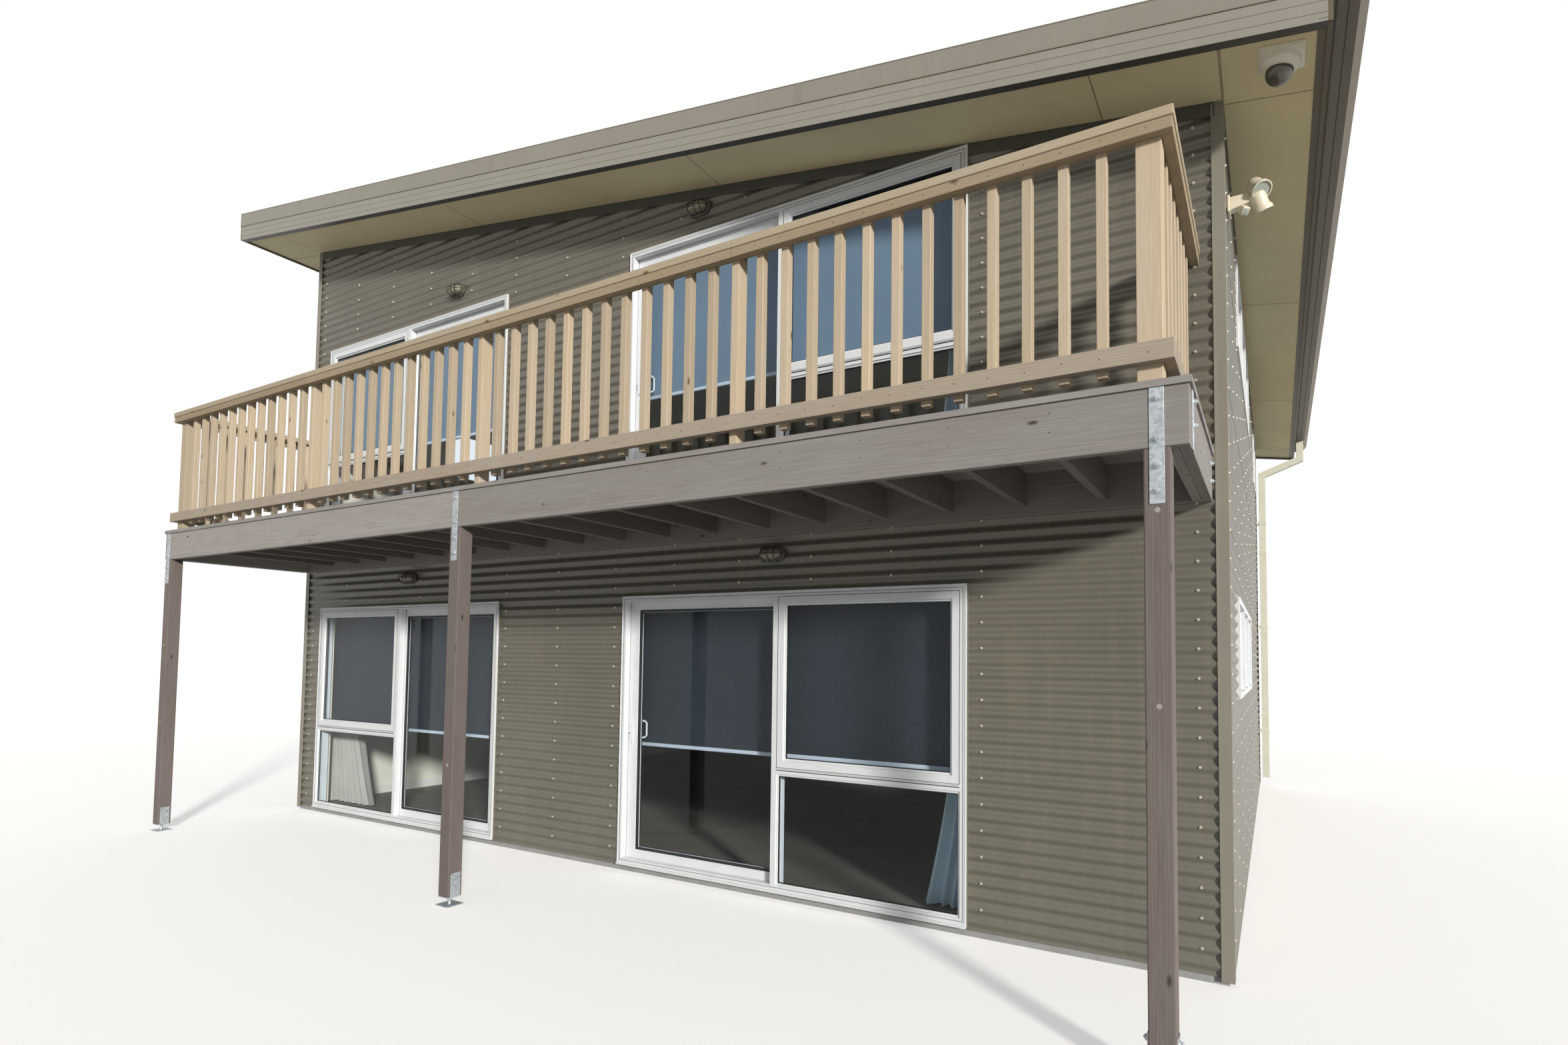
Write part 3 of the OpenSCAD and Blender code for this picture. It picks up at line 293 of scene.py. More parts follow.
def screenCloth(name, thread, gap, faded):
    # Woven vinyl-coated screen cloth: matt, with a basket weave and paler patches
    material, tree, shader = newMaterial(name, {"Sheen Weight": 0.1})
    place = addNode(tree, "TexCoord").outputs["Object"]
    # threads 6 mm apart, about four times the real spacing, so that they show close by
    across, down = (
        addNode(tree, "TexWave", {"bands_direction": way, "Scale": 52}, {"Vector": place}).outputs["Fac"]
        for way in ("X", "Z"))
    weave = addNode(tree, "Math", {"operation": "MULTIPLY"}, {0: across, 1: down}).outputs[0]
    fade = addNode(tree, "TexNoise", {"Scale": 2.2, "Detail": 3}, {"Vector": place}).outputs["Fac"]
    base = overlay(tree, mixColours(tree, weave, thread, gap), faded, fade, 0.4, 0.7, 0.3)
    linkSkin(tree, shader, base, (weave, 0.7, 0.9), (weave, 0.02, 0.1 * mm))
    return material


def groundMatter(name, dark, light, cloudScale, gritScale, speckle, rough, bump, bumpHeight):
    # Cast, looped or woven matter: cloudy colour over a fine grit
    material, tree, shader = newMaterial(name, {"IOR": 1.45, "Specular IOR Level": 0.25})
    place = addNode(tree, "TexCoord").outputs["Object"]
    cloud, grit = (
        addNode(tree, "TexNoise", {"Scale": scale, "Detail": detail}, {"Vector": place}).outputs["Fac"]
        for scale, detail in ((cloudScale, 6), (gritScale, 3)))
    base = overlay(tree, mixColours(tree, cloud, dark, light), dark, grit, 0.5, 0.75, speckle)
    linkSkin(tree, shader, base, (cloud, rough, min(1, rough + 0.15)), (grit, bump, bumpHeight))
    return material


# early wood, late wood, weathered skin and its share, pores, knots
balusterPine = stainedPine("stainedPineDressed", "#cab9a0", "#bfae95", "#c3b7a6", 0.7, "#a09079", "#735e48")
topPine = stainedPine("stainedPineTopRail", "#a8967d", "#9e8d74", "#a29787", 0.75, "#7f715c", "#64523f")
capPine = stainedPine("stainedPineCap", "#b7a88f", "#ad9e86", "#b2a898", 0.75, "#8d806c", "#6d5a46")
railPine = stainedPine("stainedPineRail", "#b8a996", "#a89a88", "#aea69d", 0.85, "#83766a", "#67564a")
beamPine = stainedPine("stainedPineSawn", "#a19c98", "#928d89", "#a4a1a0", 0.85, "#706b66", "#4f4742")
# the joists' pine is darker than the beam's: painted shade under the deck
shadedJoistPine = stainedPine("stainedPineJoistPaintedShade", "#837c77", "#75706b", "#827d7a", 0.85, "#5b5652", "#46403c")
postPine = stainedPine("stainedPinePost", "#7a6f6b", "#6d635f", "#7b7474", 0.8, "#5a524f", "#48403d")
rawPine = stainedPine("sawnPineFraming", "#c2a67c", "#a98a5f", "#b29f7e", 0.4, "#96794f", "#6a4c2e")
# paint, chalky paint and its share, dust and its share, roughness
wallSteel = paintedSteel("paintedCorrugatedSteel", "#6a675d", "#7a766b", 0.5, "#8b8474", 0.35, 0.31)
foldedSteel = paintedSteel("paintedFoldedSteel", "#858175", "#918d82", 0.45, "#9c9687", 0.25, 0.36)
# a brown gutter paint, darkened further as painted shade on the gutter and fascia
gutterSteelAndShade = paintedSteel("paintedGutterSteelAndShade", "#5f5646", "#6b6250", 0.4, "#7a6f58", 0.3, 0.4)
capSteel = paintedSteel("paintedCappingSteel", "#8a867b", "#98958b", 0.4, "#a29c8d", 0.2, 0.38)
boardSteel = paintedSteel("paintedBargeSteel", "#918d83", "#9c9990", 0.45, "#a39e91", 0.25, 0.38)
# darker than the other flashings' folded steel: painted shade under the eaves, on the eave strips and the
# barge's underside
eaveShadeSteel = paintedSteel("paintedEaveSteelPaintedShade", "#474641", "#53524c", 0.4, "#65615a", 0.2, 0.45)
# colour, grime with its share and scale, the peel's scale and strength, roughness, and how metallic it is
powderCoat = coatedPlain("powderCoatedAluminium", "#dfe3e6", "#b4b5b2", 0.2, 5, 900, 0.06, 0.36)
creamPipe = coatedPlain("paintedPvcPipe", "#dbdbcb", "#a7a594", 0.3, 4, 500, 0.05, 0.45)
creamPlastic = coatedPlain("mouldedAbsCream", "#e2dac6", "#b0a58c", 0.3, 18, 700, 0.05, 0.35)
# the soffit's cream paint, lifted paler to paint the light bounced up onto it from below
soffitPaintAndLight = coatedPlain("rolledAcrylicOnFibreCementPaintedLight", "#efe3bb", "#cdc098", 0.3, 1.4, 260, 0.12, 0.65)
# darker than the soffit: jointer strips that paint the shadow lines of the soffit's joints
jointerShadowPaint = coatedPlain("paintedPvcJointerPaintedShadow", "#a1977a", "#7c745c", 0.4, 6, 300, 0.05, 0.6)
# paler than the spot lamp's cream plastic: painted light on the dome camera, which sits in the eave's shade
domeShellLit = coatedPlain("mouldedAbsIvoryPaintedLight", "#f5f0e0", "#cfc6ae", 0.25, 18, 700, 0.05, 0.3)
liningPaint = coatedPlain("rolledAcrylicOnPlaster", "#e6e0cf", "#d0c8b2", 0.2, 1.0, 240, 0.1, 0.75)
castGrey = coatedPlain("paintedDieCasting", "#55534c", "#77715f", 0.4, 30, 600, 0.15, 0.5)
# black rubber for seals and latch barrels; the same black makes flat strips that paint the shade of grooves
# and gaps
rubberAndShadeBlack = coatedPlain("extrudedRubberGasketAndPaintedShade", "#17191b", "#34342f", 0.5, 20, 500, 0.1, 0.65)
barAlloy = coatedPlain("enamelledBlindBar", "#d3deea", "#a9b3bd", 0.2, 12, 700, 0.04, 0.38)
# a smoke grey lighter than the dark dome's own, partly painting its reflection
smokedDomeAndReflection = coatedPlain("smokedPolycarbonateAndPaintedReflection", "#5a554b", "#736d61", 0.25, 25, 400, 0.01, 0.12)
screwZinc = coatedPlain("zincPlatedScrew", "#c9c5b8", "#8d8776", 0.4, 60, 600, 0.05, 0.4, 0.5)
lensGlass = coatedPlain("prismaticLampGlass", "#96927f", "#746f5b", 0.4, 30, 300, 0.03, 0.18)
cageWire = coatedPlain("enamelledCageWire", "#2b2822", "#4a453a", 0.4, 40, 600, 0.1, 0.5)
zincSteel = galvanised("hotDippedZinc")
paneGlass = clearGlass("floatGlass")
# thread, gap, faded patches
slateCloth = screenCloth("wovenScreenClothSlate", "#1c242d", "#1f2730", "#252e38")
# the upper blinds' cloth is paler and bluer than the lower: painted reflection of the sky in the upper glass
reflectionBlueCloth = screenCloth("wovenScreenClothPaintedReflection", "#6b8195", "#6e8499", "#7b92a6")
# dark and light tone, scale of the clouds and of the grit, the grit's share, roughness, relief and its depth
castConcrete = groundMatter("castConcrete", "#8b8b89", "#b2b4b5", 6, 160, 0.6, 0.8, 0.6, 1.5 * mm)
loopCarpet = groundMatter("loopPileCarpet", "#6d675f", "#8d867b", 3, 220, 0.8, 0.85, 0.8, 3 * mm)
# the cream curtain's cloth is greyer than cream: painted shade on it
shadedCreamLinen = groundMatter("wovenCreamLinenPaintedShade", "#a3a299", "#b9b8af", 4, 420, 0.3, 0.8, 0.2, 0.4 * mm)
# the blue curtains' cloth is paler than its own blue: painted sunlight on it
sunlitBlueLinen = groundMatter("wovenPaleBlueLinenPaintedLight", "#cbe1ec", "#e3f1f7", 4, 420, 0.3, 0.8, 0.2, 0.4 * mm)
# as for the sprayed and moulded skins above
trimPaint = coatedPlain("enamelOnSkirting", "#e4e1d6", "#c9c4b4", 0.2, 6, 300, 0.05, 0.4)
frostGlass = coatedPlain("frostedLampGlass", "#a7b0a6", "#868d84", 0.3, 40, 500, 0.3, 0.22)
nailSteel = coatedPlain("weatheredNailHead", "#4c4741", "#6b5a45", 0.5, 200, 900, 0.1, 0.55, 0.4)
plugFiller = coatedPlain("woodFillerPlug", "#a59c94", "#7d746d", 0.5, 90, 600, 0.2, 0.7)
print("materials made")


# Mesh helpers
def shadeByAngle(mesh, degrees=32):
    # smooth faces, with sharp edges kept where the surface turns by more than the angle
    for face in mesh.faces:
        face.smooth = True
    for edge in mesh.edges:
        edge.smooth = len(edge.link_faces) == 2 and edge.calc_face_angle(0) < math.radians(degrees)


def addPiece(name, mesh, material, body="building", stands=(), smooth=None):
    # a bmesh with its place in its points becomes a piece that rides on a body
    if smooth is not None:
        shadeByAngle(mesh, smooth)
    data = bpy.data.meshes.new(name)
    mesh.to_mesh(data)
    mesh.free()
    piece = bpy.data.objects.new(name, data)
    bpy.context.scene.collection.objects.link(piece)
    data.materials.append(material)
    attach(piece, body)
    if stands:
        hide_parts(*stands)
    return piece


def cadMesh(node):
    # a merged copy of a CAD node with its flat faces whole
    mesh = bmesh.new()
    mesh.from_mesh(cadNodes[node].data)
    bmesh.ops.remove_doubles(mesh, verts=mesh.verts, dist=0.01 * mm)
    bmesh.ops.dissolve_limit(mesh, angle_limit=math.radians(0.5), verts=mesh.verts, edges=mesh.edges)
    return mesh


def islands(mesh):
    # the points of each separate solid
    left = set(mesh.verts)
    groups = []
    while left:
        start = left.pop()
        group = [start]
        queue = [start]
        while queue:
            for edge in queue.pop().link_edges:
                for vert in edge.verts:
                    if vert in left:
                        left.discard(vert)
                        group.append(vert)
                        queue.append(vert)
        groups.append(group)
    return groups


def spanOf(verts):
    low = Vector([min(v.co[i] for v in verts) for i in range(3)])
    high = Vector([max(v.co[i] for v in verts) for i in range(3)])
    return low, high


def solidBoxes(node):
    # lowest and highest corner of each solid in a CAD node, from left to right
    mesh = cadMesh(node)
    boxes = [spanOf(group) for group in islands(mesh)]
    mesh.free()
    return sorted(boxes, key=lambda b: (round(b[0].x, 4), round(b[0].y, 4), round(b[0].z, 4)))


def bevelEdges(mesh, edges, radius, segments):
    return bmesh.ops.bevel(mesh, geom=edges, offset=radius, offset_type="OFFSET", segments=segments,
                           profile=0.5, affect="EDGES", clamp_overlap=True, material=-1)


def easeEdges(mesh, radius, segments=2, degrees=25, geom=None):
    # rounds the edges where a solid turns by more than the angle
    least = math.radians(degrees)
    sharp = [e for e in (geom or mesh.edges) if e.is_manifold and e.calc_face_angle(0) > least]
    bevelEdges(mesh, sharp, radius, segments)


def addBlock(mesh, first, second, radius=0.0, segments=2):
    # a block between two opposite corners, with eased edges; returns its points
    low, high = (Vector([end(a, b) for a, b in zip(first, second)]) for end in (min, max))
    size = high - low
    made = bmesh.ops.create_cube(mesh, size=1.0)["verts"]
    bmesh.ops.scale(mesh, vec=size, verts=made)
    bmesh.ops.translate(mesh, vec=(high + low) / 2, verts=made)
    if radius <= 0:
        return made
    edges = list({e for v in made for e in v.link_edges})
    result = bevelEdges(mesh, edges, min(radius, min(size) * 0.4), segments)
    return list({v for f in result["faces"] for v in f.verts})


def markGrain(mesh, group, low, high):
    # each board keeps its own grain: place along its length, then across it from the tree's heart
    grain = mesh.verts.layers.float_vector["grain"]
    tone = mesh.verts.layers.float["tone"]
    size = high - low
    along = max(range(3), key=lambda i: size[i])
    first, second = [i for i in range(3) if i != along]
    start = random.uniform(0, 40)
    heart = (random.uniform(-0.16, 0.16), random.choice((-1, 1)) * random.uniform(0.03, 0.14))
    middle = (low + high) / 2
    level = random.random()
    for vert in group:
        vert[grain] = (vert.co[along] + start, vert.co[first] - middle[first] + heart[0],
                       vert.co[second] - middle[second] + heart[1])
        vert[tone] = level


def timberMesh():
    mesh = bmesh.new()
    mesh.verts.layers.float_vector.new("grain")
    mesh.verts.layers.float.new("tone")
    return mesh


def addBoard(mesh, low, high, radius):
    markGrain(mesh, addBlock(mesh, low, high, radius), Vector(low), Vector(high))


def stamp(mesh, template, matrix):
    # a copy of a small template mesh in another place
    placed = template.copy()
    placed.transform(matrix)
    mesh.from_mesh(placed)
    bpy.data.meshes.remove(placed)


def asTemplate(mesh, name):
    data = bpy.data.meshes.new(name)
    mesh.to_mesh(data)
    mesh.free()
    return data


def pour(own, mesh):
    # adds a small bmesh to a larger one
    data = asTemplate(own, "poured")
    mesh.from_mesh(data)
    bpy.data.meshes.remove(data)


def thicken(mesh, step):
    # pulls flat faces out into a solid, with all of its faces outwards
    made = bmesh.ops.extrude_face_region(mesh, geom=mesh.faces[:])["geom"]
    bmesh.ops.translate(mesh, vec=step, verts=[v for v in made if isinstance(v, bmesh.types.BMVert)])
    bmesh.ops.recalc_face_normals(mesh, faces=mesh.faces)


def cutAt(mesh, place, normal, clear=False):
    bmesh.ops.bisect_plane(mesh, geom=mesh.verts[:] + mesh.edges[:] + mesh.faces[:], dist=1e-6,
                           plane_co=place, plane_no=normal, clear_outer=clear)


def stepping(start, stop, step):
    # places a step apart, from the start to short of the stop
    while start < stop:
        yield start
        start += step


def facing(direction, place):
    # turns +Z of a template to the direction and puts it at the place
    return Matrix.Translation(place) @ Vector(direction).to_track_quat("Z", "Y").to_matrix().to_4x4()


# Places that several pieces share
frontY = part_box("front_cladding")[0].y
wallLeft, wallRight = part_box("front_cladding")[0].x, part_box("front_cladding")[1].x
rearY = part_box("rear_cladding")[1].y
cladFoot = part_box("front_cladding")[0].z
leftTop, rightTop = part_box("left_wall"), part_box("right_wall")
slope = (leftTop[1].z - rightTop[1].z) / (rightTop[1].x - leftTop[1].x)
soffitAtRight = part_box("left_cladding")[1].z - (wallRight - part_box("left_cladding")[1].x) * slope
slopeAngle = math.atan(slope)
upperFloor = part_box("upper_floor")[1].z


def soffitHeight(x):
    return soffitAtRight + (wallRight - x) * slope


# Corrugated walls and roof
cladding = {
    "pitch": 76.2 * mm,
    "depth": 17 * mm,
    "steps": 12,             # chords a wave
    "cover": 762 * mm,       # a sheet's ten waves
    "lap": 24 * mm,
    "stand": 1.0 * mm,       # how far a sheet's lower edge stands off the sheet below
    "screwEvery": 2,         # crests
    "frontCrest": 17 * mm,   # the front's lowest crest above the ground
    "upperCrest": 48 * mm,   # the front's first crest above the upper floor
    "split": 53 * mm,        # the two storeys' sheets meet this far below the upper floor, behind the band
    "bandMiddle": 54 * mm,
    "bandRoom": 75 * mm,     # no screw is closer to the band's middle,
    "footRoom": 30 * mm,     # a sheet's foot,
    "topRoom": 105 * mm,     # the soffit
    "holeRoom": 15 * mm,     # or an opening
    "nearCrests": 0.05,      # an opening's frame starts this close to the crests
    "wallDeep": 0.4,         # and ends within this depth
}


def waveDepth(height, crest):
    return cladding["depth"] * (1 - math.cos(2 * math.pi * (height - crest) / cladding["pitch"])) / 2


def addSheet(mesh, width, low, high, crest, holes, tops):
    # one corrugated sheet as wide as the wall, in the plane of X and Z: crests at Y = 0, troughs behind
    rows = max(2, round((high - low) / cladding["pitch"] * cladding["steps"]))
    own = bmesh.new()
    bmesh.ops.create_grid(own, x_segments=1, y_segments=rows, size=0.5,
                          matrix=Matrix.Rotation(math.radians(90), 4, "X"))
    bmesh.ops.scale(own, vec=(width, 1, high - low), verts=own.verts)
    bmesh.ops.translate(own, vec=(width / 2, 0, (low + high) / 2), verts=own.verts)
    for x0, x1, z0, z1 in holes:
        for place, normal in (((x0, 0, 0), (1, 0, 0)), ((x1, 0, 0), (1, 0, 0)),
                              ((0, 0, z0), (0, 0, 1)), ((0, 0, z1), (0, 0, 1))):
            cutAt(own, place, normal)
    for place, normal in tops:
        cutAt(own, place, normal, True)
    inside = []
    for face in own.faces:
        middle = face.calc_center_median()
        if any(x0 < middle.x < x1 and z0 < middle.z < z1 for x0, x1, z0, z1 in holes):
            inside.append(face)
    bmesh.ops.delete(own, geom=inside, context="FACES")
    for vert in own.verts:
        rise = (vert.co.z - low) / (high - low)
        vert.co.y = waveDepth(vert.co.z, crest) - cladding["stand"] * (1 - rise)
    pour(own, mesh)


def addSheets(mesh, width, low, high, crest, holes, tops):
    # sheets one above the other, each lapping the one below
    for start in stepping(low, high, cladding["cover"]):
        top = min(start + cladding["cover"] + cladding["lap"], high)
        addSheet(mesh, width, start, top, crest, holes, tops)


def headTemplate(steps, openFoot=True):
    # a head that stands on the origin and points up
    mesh = bmesh.new()
    for sides, wide, narrow, foot, top in steps:
        middle = Matrix.Translation((0, 0, (foot + top) / 2 * mm))
        bmesh.ops.create_cone(mesh, cap_ends=True, segments=sides, radius1=wide * mm, radius2=narrow * mm,
                              depth=(top - foot) * mm, matrix=middle)
    if openFoot:
        under = [f for f in mesh.faces if f.normal.z < -0.9]
        bmesh.ops.delete(mesh, geom=under, context="FACES_ONLY")
    return asTemplate(mesh, "head")


heads = {
    # sides, lower and upper radius, foot and top of each step, in millimetres
    "sheetScrew": ((10, 9, 7, 0, 3), (6, 5.5, 5, 2.5, 8.5)),               # hexagonal, on a sealing washer
    "nail": ((8, 3.4, 2.04, 0, 1),),
    "plug": ((16, 11, 10.12, 0, 0.8),),
    "rivet": ((10, 4, 2.2, 0, 1.8),),
    "bolt": ((24, 17, 16, 0, 3), (6, 13, 12, 3, 12), (12, 6, 5, 12, 17)),  # washer, nut and rod
}
sheetScrew, nailHead, plugHead, rivetHead = (
    headTemplate(heads[name]) for name in ("sheetScrew", "nail", "plug", "rivet"))
bolt = headTemplate(heads["bolt"], openFoot=False)
toWall = {
    "front": Matrix.Translation((wallLeft, frontY, 0)),
    "right": Matrix.Translation((wallRight, frontY, 0)) @ Matrix.Rotation(math.radians(90), 4, "Z"),
    "rear": Matrix.Translation((wallRight, rearY, 0)) @ Matrix.Rotation(math.radians(180), 4, "Z"),
    "left": Matrix.Translation((wallLeft, rearY, 0)) @ Matrix.Rotation(math.radians(-90), 4, "Z"),
}


def wallHoles(side):
    # openings in the wall's own x and z
    back = toWall[side].inverted()
    if side == "front":
        boxes = [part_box("main_frame"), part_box("side_frame")] + solidBoxes("upper_frames")
    else:
        boxes = solidBoxes("wall_windows")
    holes = []
    for low, high in boxes:
        a, b = back @ low, back @ high
        depths = sorted((a.y, b.y))
        near = depths[0] < cladding["nearCrests"] and min(map(abs, depths)) < cladding["nearCrests"]
        if near and depths[1] < cladding["wallDeep"]:
            holes.append((min(a.x, b.x), max(a.x, b.x), low.z, high.z))
    return holes


def cladWall(side, width, columns):
    holes = wallHoles(side)
    mesh, screws = bmesh.new(), bmesh.new()
    matrix = toWall[side]
    rise = {"front": slope, "rear": -slope}.get(side, 0)
    # the wall's own x runs right on the front and left on the rear
    topLeft = soffitHeight((matrix @ Vector((0, 0, 0))).x)
    topPlane = ((0, 0, topLeft), Vector((rise, 0, 1)).normalized())
    if side in ("left", "right"):
        topPlane = ((0, 0, soffitHeight(wallLeft if side == "left" else wallRight)), Vector((0, 0, 1)))
    highest = max(topLeft, soffitHeight(wallLeft) if side != "right" else topLeft)
    bands = [(cladFoot, highest + 0.1, cladFoot)]
    if side == "front":
        split = upperFloor - cladding["split"]
        bands = [(cladFoot, split, cladding["frontCrest"]),
                 (split, highest + 0.1, upperFloor + cladding["upperCrest"])]
    room = cladding["holeRoom"]
    for low, high, crest in bands:
        addSheets(mesh, width, low, high, crest, holes, [topPlane])
        first = math.ceil((low + cladding["footRoom"] - crest) / cladding["pitch"])
        for k in range(first, int((high - crest) / cladding["pitch"])):
            z = crest + k * cladding["pitch"]
            if k % cladding["screwEvery"]:
                continue
            for x in columns:
                if any(x0 - room < x < x1 + room and z0 - room < z < z1 + room for x0, x1, z0, z1 in holes):
                    continue
                if z > topPlane[0][2] - x * rise - cladding["topRoom"]:
                    continue
                if side == "front" and abs(z - (upperFloor - cladding["bandMiddle"])) < cladding["bandRoom"]:
                    continue
                stamp(screws, sheetScrew, facing((0, -1, 0), (x, -cladding["stand"] / 2, z)))
    bmesh.ops.transform(mesh, matrix=matrix, verts=mesh.verts)
    bmesh.ops.transform(screws, matrix=matrix, verts=screws.verts)
    node = side + "_cladding"
    addPiece(side + "_wall_sheets", mesh, wallSteel, stands=[node], smooth=40)
    addPiece(side + "_wall_screws", screws, screwZinc)


houseWidth = wallRight - wallLeft
houseDepth = rearY - frontY
unitSpans = [(b[0].x - wallLeft, b[1].x - wallLeft) for b in (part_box("side_frame"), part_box("main_frame"))]
screwColumns = {
    "front": 0.66,           # widest distance between two columns of screws
    "others": 0.62,
    "frontStart": 0.16,
    "frontEnd": 0.145,
    "corner": 0.15,
    "unitSide": 88 * mm,     # from a door unit's side
}
roofScrews = {
    "rows": 0.9,
    "endRoom": 0.12,
    "edgeRoom": 0.05,
    "drop": 1.2 * mm,        # of the sheets' crests below the solid roofing's highest line
}


def spread(low, high, room):
    # even places between two, no further apart than room
    count = max(1, math.ceil((high - low) / room))
    return [low + (high - low) * k / count for k in range(count + 1)]


beside = screwColumns["unitSide"]
stops = [screwColumns["frontStart"], unitSpans[0][1] + beside, unitSpans[1][0] - beside,
         unitSpans[1][1] + beside]
frontColumns = {x for start, end in zip(stops, stops[1:]) for x in spread(start, end, screwColumns["front"])}
cladWall("front", houseWidth, sorted(frontColumns | {houseWidth - screwColumns["frontEnd"]}))
corner = screwColumns["corner"]
for side, width in (("rear", houseWidth), ("left", houseDepth), ("right", houseDepth)):
    cladWall(side, width, spread(corner, width - corner, screwColumns["others"]))
print("wall sheets made")


def roofSheets():
    low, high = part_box("roofing")
    length = (high.x - low.x) / math.cos(slopeAngle) - 2 * mm
    width = high.y - low.y
    mesh, screws = bmesh.new(), bmesh.new()
    addSheets(mesh, length, 0.0, width, 0.0, [], [])
    rows = spread(roofScrews["endRoom"], length - roofScrews["endRoom"], roofScrews["rows"])
    for k in range(0, math.ceil(width / cladding["pitch"]), cladding["screwEvery"]):
        across = k * cladding["pitch"]
        if roofScrews["edgeRoom"] < across < width - roofScrews["edgeRoom"]:
            for x in rows:
                stamp(screws, sheetScrew, facing((0, -1, 0), (x, -cladding["stand"] / 2, across)))
    # the sheets' x goes down the slope, their z across the house and their y down
    turn = Matrix(((1, 0, 0, 0), (0, 0, 1, 0), (0, -1, 0, 0), (0, 0, 0, 1)))
    place = (Matrix.Translation((low.x, low.y, high.z - roofScrews["drop"]))
             @ Matrix.Rotation(slopeAngle, 4, "Y") @ turn)
    for part in (mesh, screws):
        bmesh.ops.transform(part, matrix=place, verts=part.verts)
    addPiece("roof_sheets", mesh, wallSteel, stands=["roofing"], smooth=40)
    addPiece("roof_screws", screws, screwZinc)


roofSheets()
print("roof made")


# Timber
timber = {
    "ease": 3 * mm,
    "jointGap": 1.5 * mm,
    "plankGap": 1 * mm,
    "doubled": (88 * mm, 0.12),   # a beam as thick as this is two planks side by side
    "beamLong": 0.6,
    "cutLong": 1.0,          # a rail longer than this is cut over its posts,
    "endRoom": 0.2,          # but not this close to its ends
    "grooves": 9,            # reeds on a decking board
    "grooveDeep": 2.5 * mm,
}


def boardParts(low, high, joints):
    # a CAD solid as the boards it is made of: rails are cut over their posts, and beams are doubled
    parts = [(low.copy(), high.copy())]
    size = high - low
    if timber["doubled"][0] < size.x < timber["doubled"][1] and size.y > timber["beamLong"]:
        middle, half = (low.x + high.x) / 2, timber["plankGap"] / 2
        parts = [(low.copy(), Vector((middle - half, high.y, high.z))),
                 (Vector((middle + half, low.y, low.z)), high.copy())]
    half, room = timber["jointGap"] / 2, timber["endRoom"]
    for joint in joints:
        for lo, hi in list(parts):
            if hi.x - lo.x > timber["cutLong"] and lo.x + room < joint < hi.x - room:
                parts.remove((lo, hi))
                parts.append((lo, Vector((joint - half, hi.y, hi.z))))
                parts.append((Vector((joint + half, lo.y, lo.z)), hi))
    return parts


def timberPiece(name, node, material, ease, joints=()):
    mesh = timberMesh()
    for low, high in solidBoxes(node):
        for lo, hi in boardParts(low, high, joints):
            addBoard(mesh, lo, hi, ease)
    addPiece(name, mesh, material, stands=[node])


newels = solidBoxes("balustrade_posts")
railJoints = [(low.x + high.x) / 2 for low, high in newels[1:-1]]
timberPiece("balustrade_post_set", "balustrade_posts", balusterPine, timber["ease"])
for side in ("front", "left", "right"):
    timberPiece(side + "_baluster_set", side + "_balusters", balusterPine, timber["ease"])
timberPiece("bottom_rail_boards", "bottom_rails", railPine, timber["ease"], railJoints[1:2])
timberPiece("top_rail_boards", "top_rails", topPine, timber["ease"], railJoints[:1] + railJoints[2:])
timberPiece("cap_board_lengths", "cap_boards", capPine, 4 * mm, railJoints[:1] + railJoints[2:])
postMiddle = sum((low.x + high.x) / 2 for low, high in solidBoxes("ground_posts")[1:2])
timberPiece("deck_beam_timbers", "deck_beams", beamPine, timber["ease"], [postMiddle])
timberPiece("deck_joist_timbers", "deck_joists", shadedJoistPine, 2 * mm)
timberPiece("post_timbers", "ground_posts", postPine, 6 * mm)


def reededBoard(mesh, low, high):
    # grip grooves run along the top; the strips between them stay at full height
    strips = 2 * timber["grooves"] + 1
    own = timberMesh()
    bmesh.ops.create_grid(own, x_segments=1, y_segments=strips, size=0.5)
    bmesh.ops.scale(own, vec=(high.x - low.x, high.y - low.y, 1), verts=own.verts)
    bmesh.ops.translate(own, vec=((low.x + high.x) / 2, (low.y + high.y) / 2, high.z), verts=own.verts)
    thicken(own, (0, 0, low.z - high.z))
    tops = sorted((f for f in own.faces if f.normal.z > 0.9), key=lambda f: f.calc_center_median().y)
    valleys = bmesh.ops.extrude_discrete_faces(own, faces=tops[1::2])["faces"]
    for face in valleys:
        bmesh.ops.translate(own, vec=(0, 0, -timber["grooveDeep"]), verts=face.verts)
    markGrain(own, own.verts, low, high)
    pour(own, mesh)


def makeDecking():
    mesh = timberMesh()
    for low, high in solidBoxes("decking"):
        reededBoard(mesh, low, high)
    addPiece("decking_boards", mesh, beamPine, stands=["decking"])


makeDecking()
print("timber made")


# Nails, bolts and plugs
fixings = {
    # in millimetres, apart from shares and heights
    "strapBolts": (44, 204, 309, 409),   # below the beam's top
    "sideBolts": (44, 139),
    "beamBolts": (60, 150),
    "beamBoltBack": 90,                  # from the side beam's rear end
    "shoeBolts": (120, 180),             # above the ground
    "shoeCheek": 55,                     # from the post's middle
    "shoeNails": 46,
    "shoeNailUp": 6,
    "topSlip": 4,                        # how far a nail may stray
    "lowSlip": 8,
    "capNails": (30, 100),               # from the cap board's front edge
    "capEvery": 4,                       # balusters
    "plankNails": (0.2, 0.8),            # share of the decking board's width
    "joistNails": (45, 125),             # below the beam's top
    "plugs": ((0, 0.62), (0, 1.32), (1, 0.55), (2, 1.1), (2, 1.86)),   # post number and height
    "plugOff": 12,                       # from the middle of the post's left side
    "plugRise": 0.35,                    # of the front plug over the side one
}


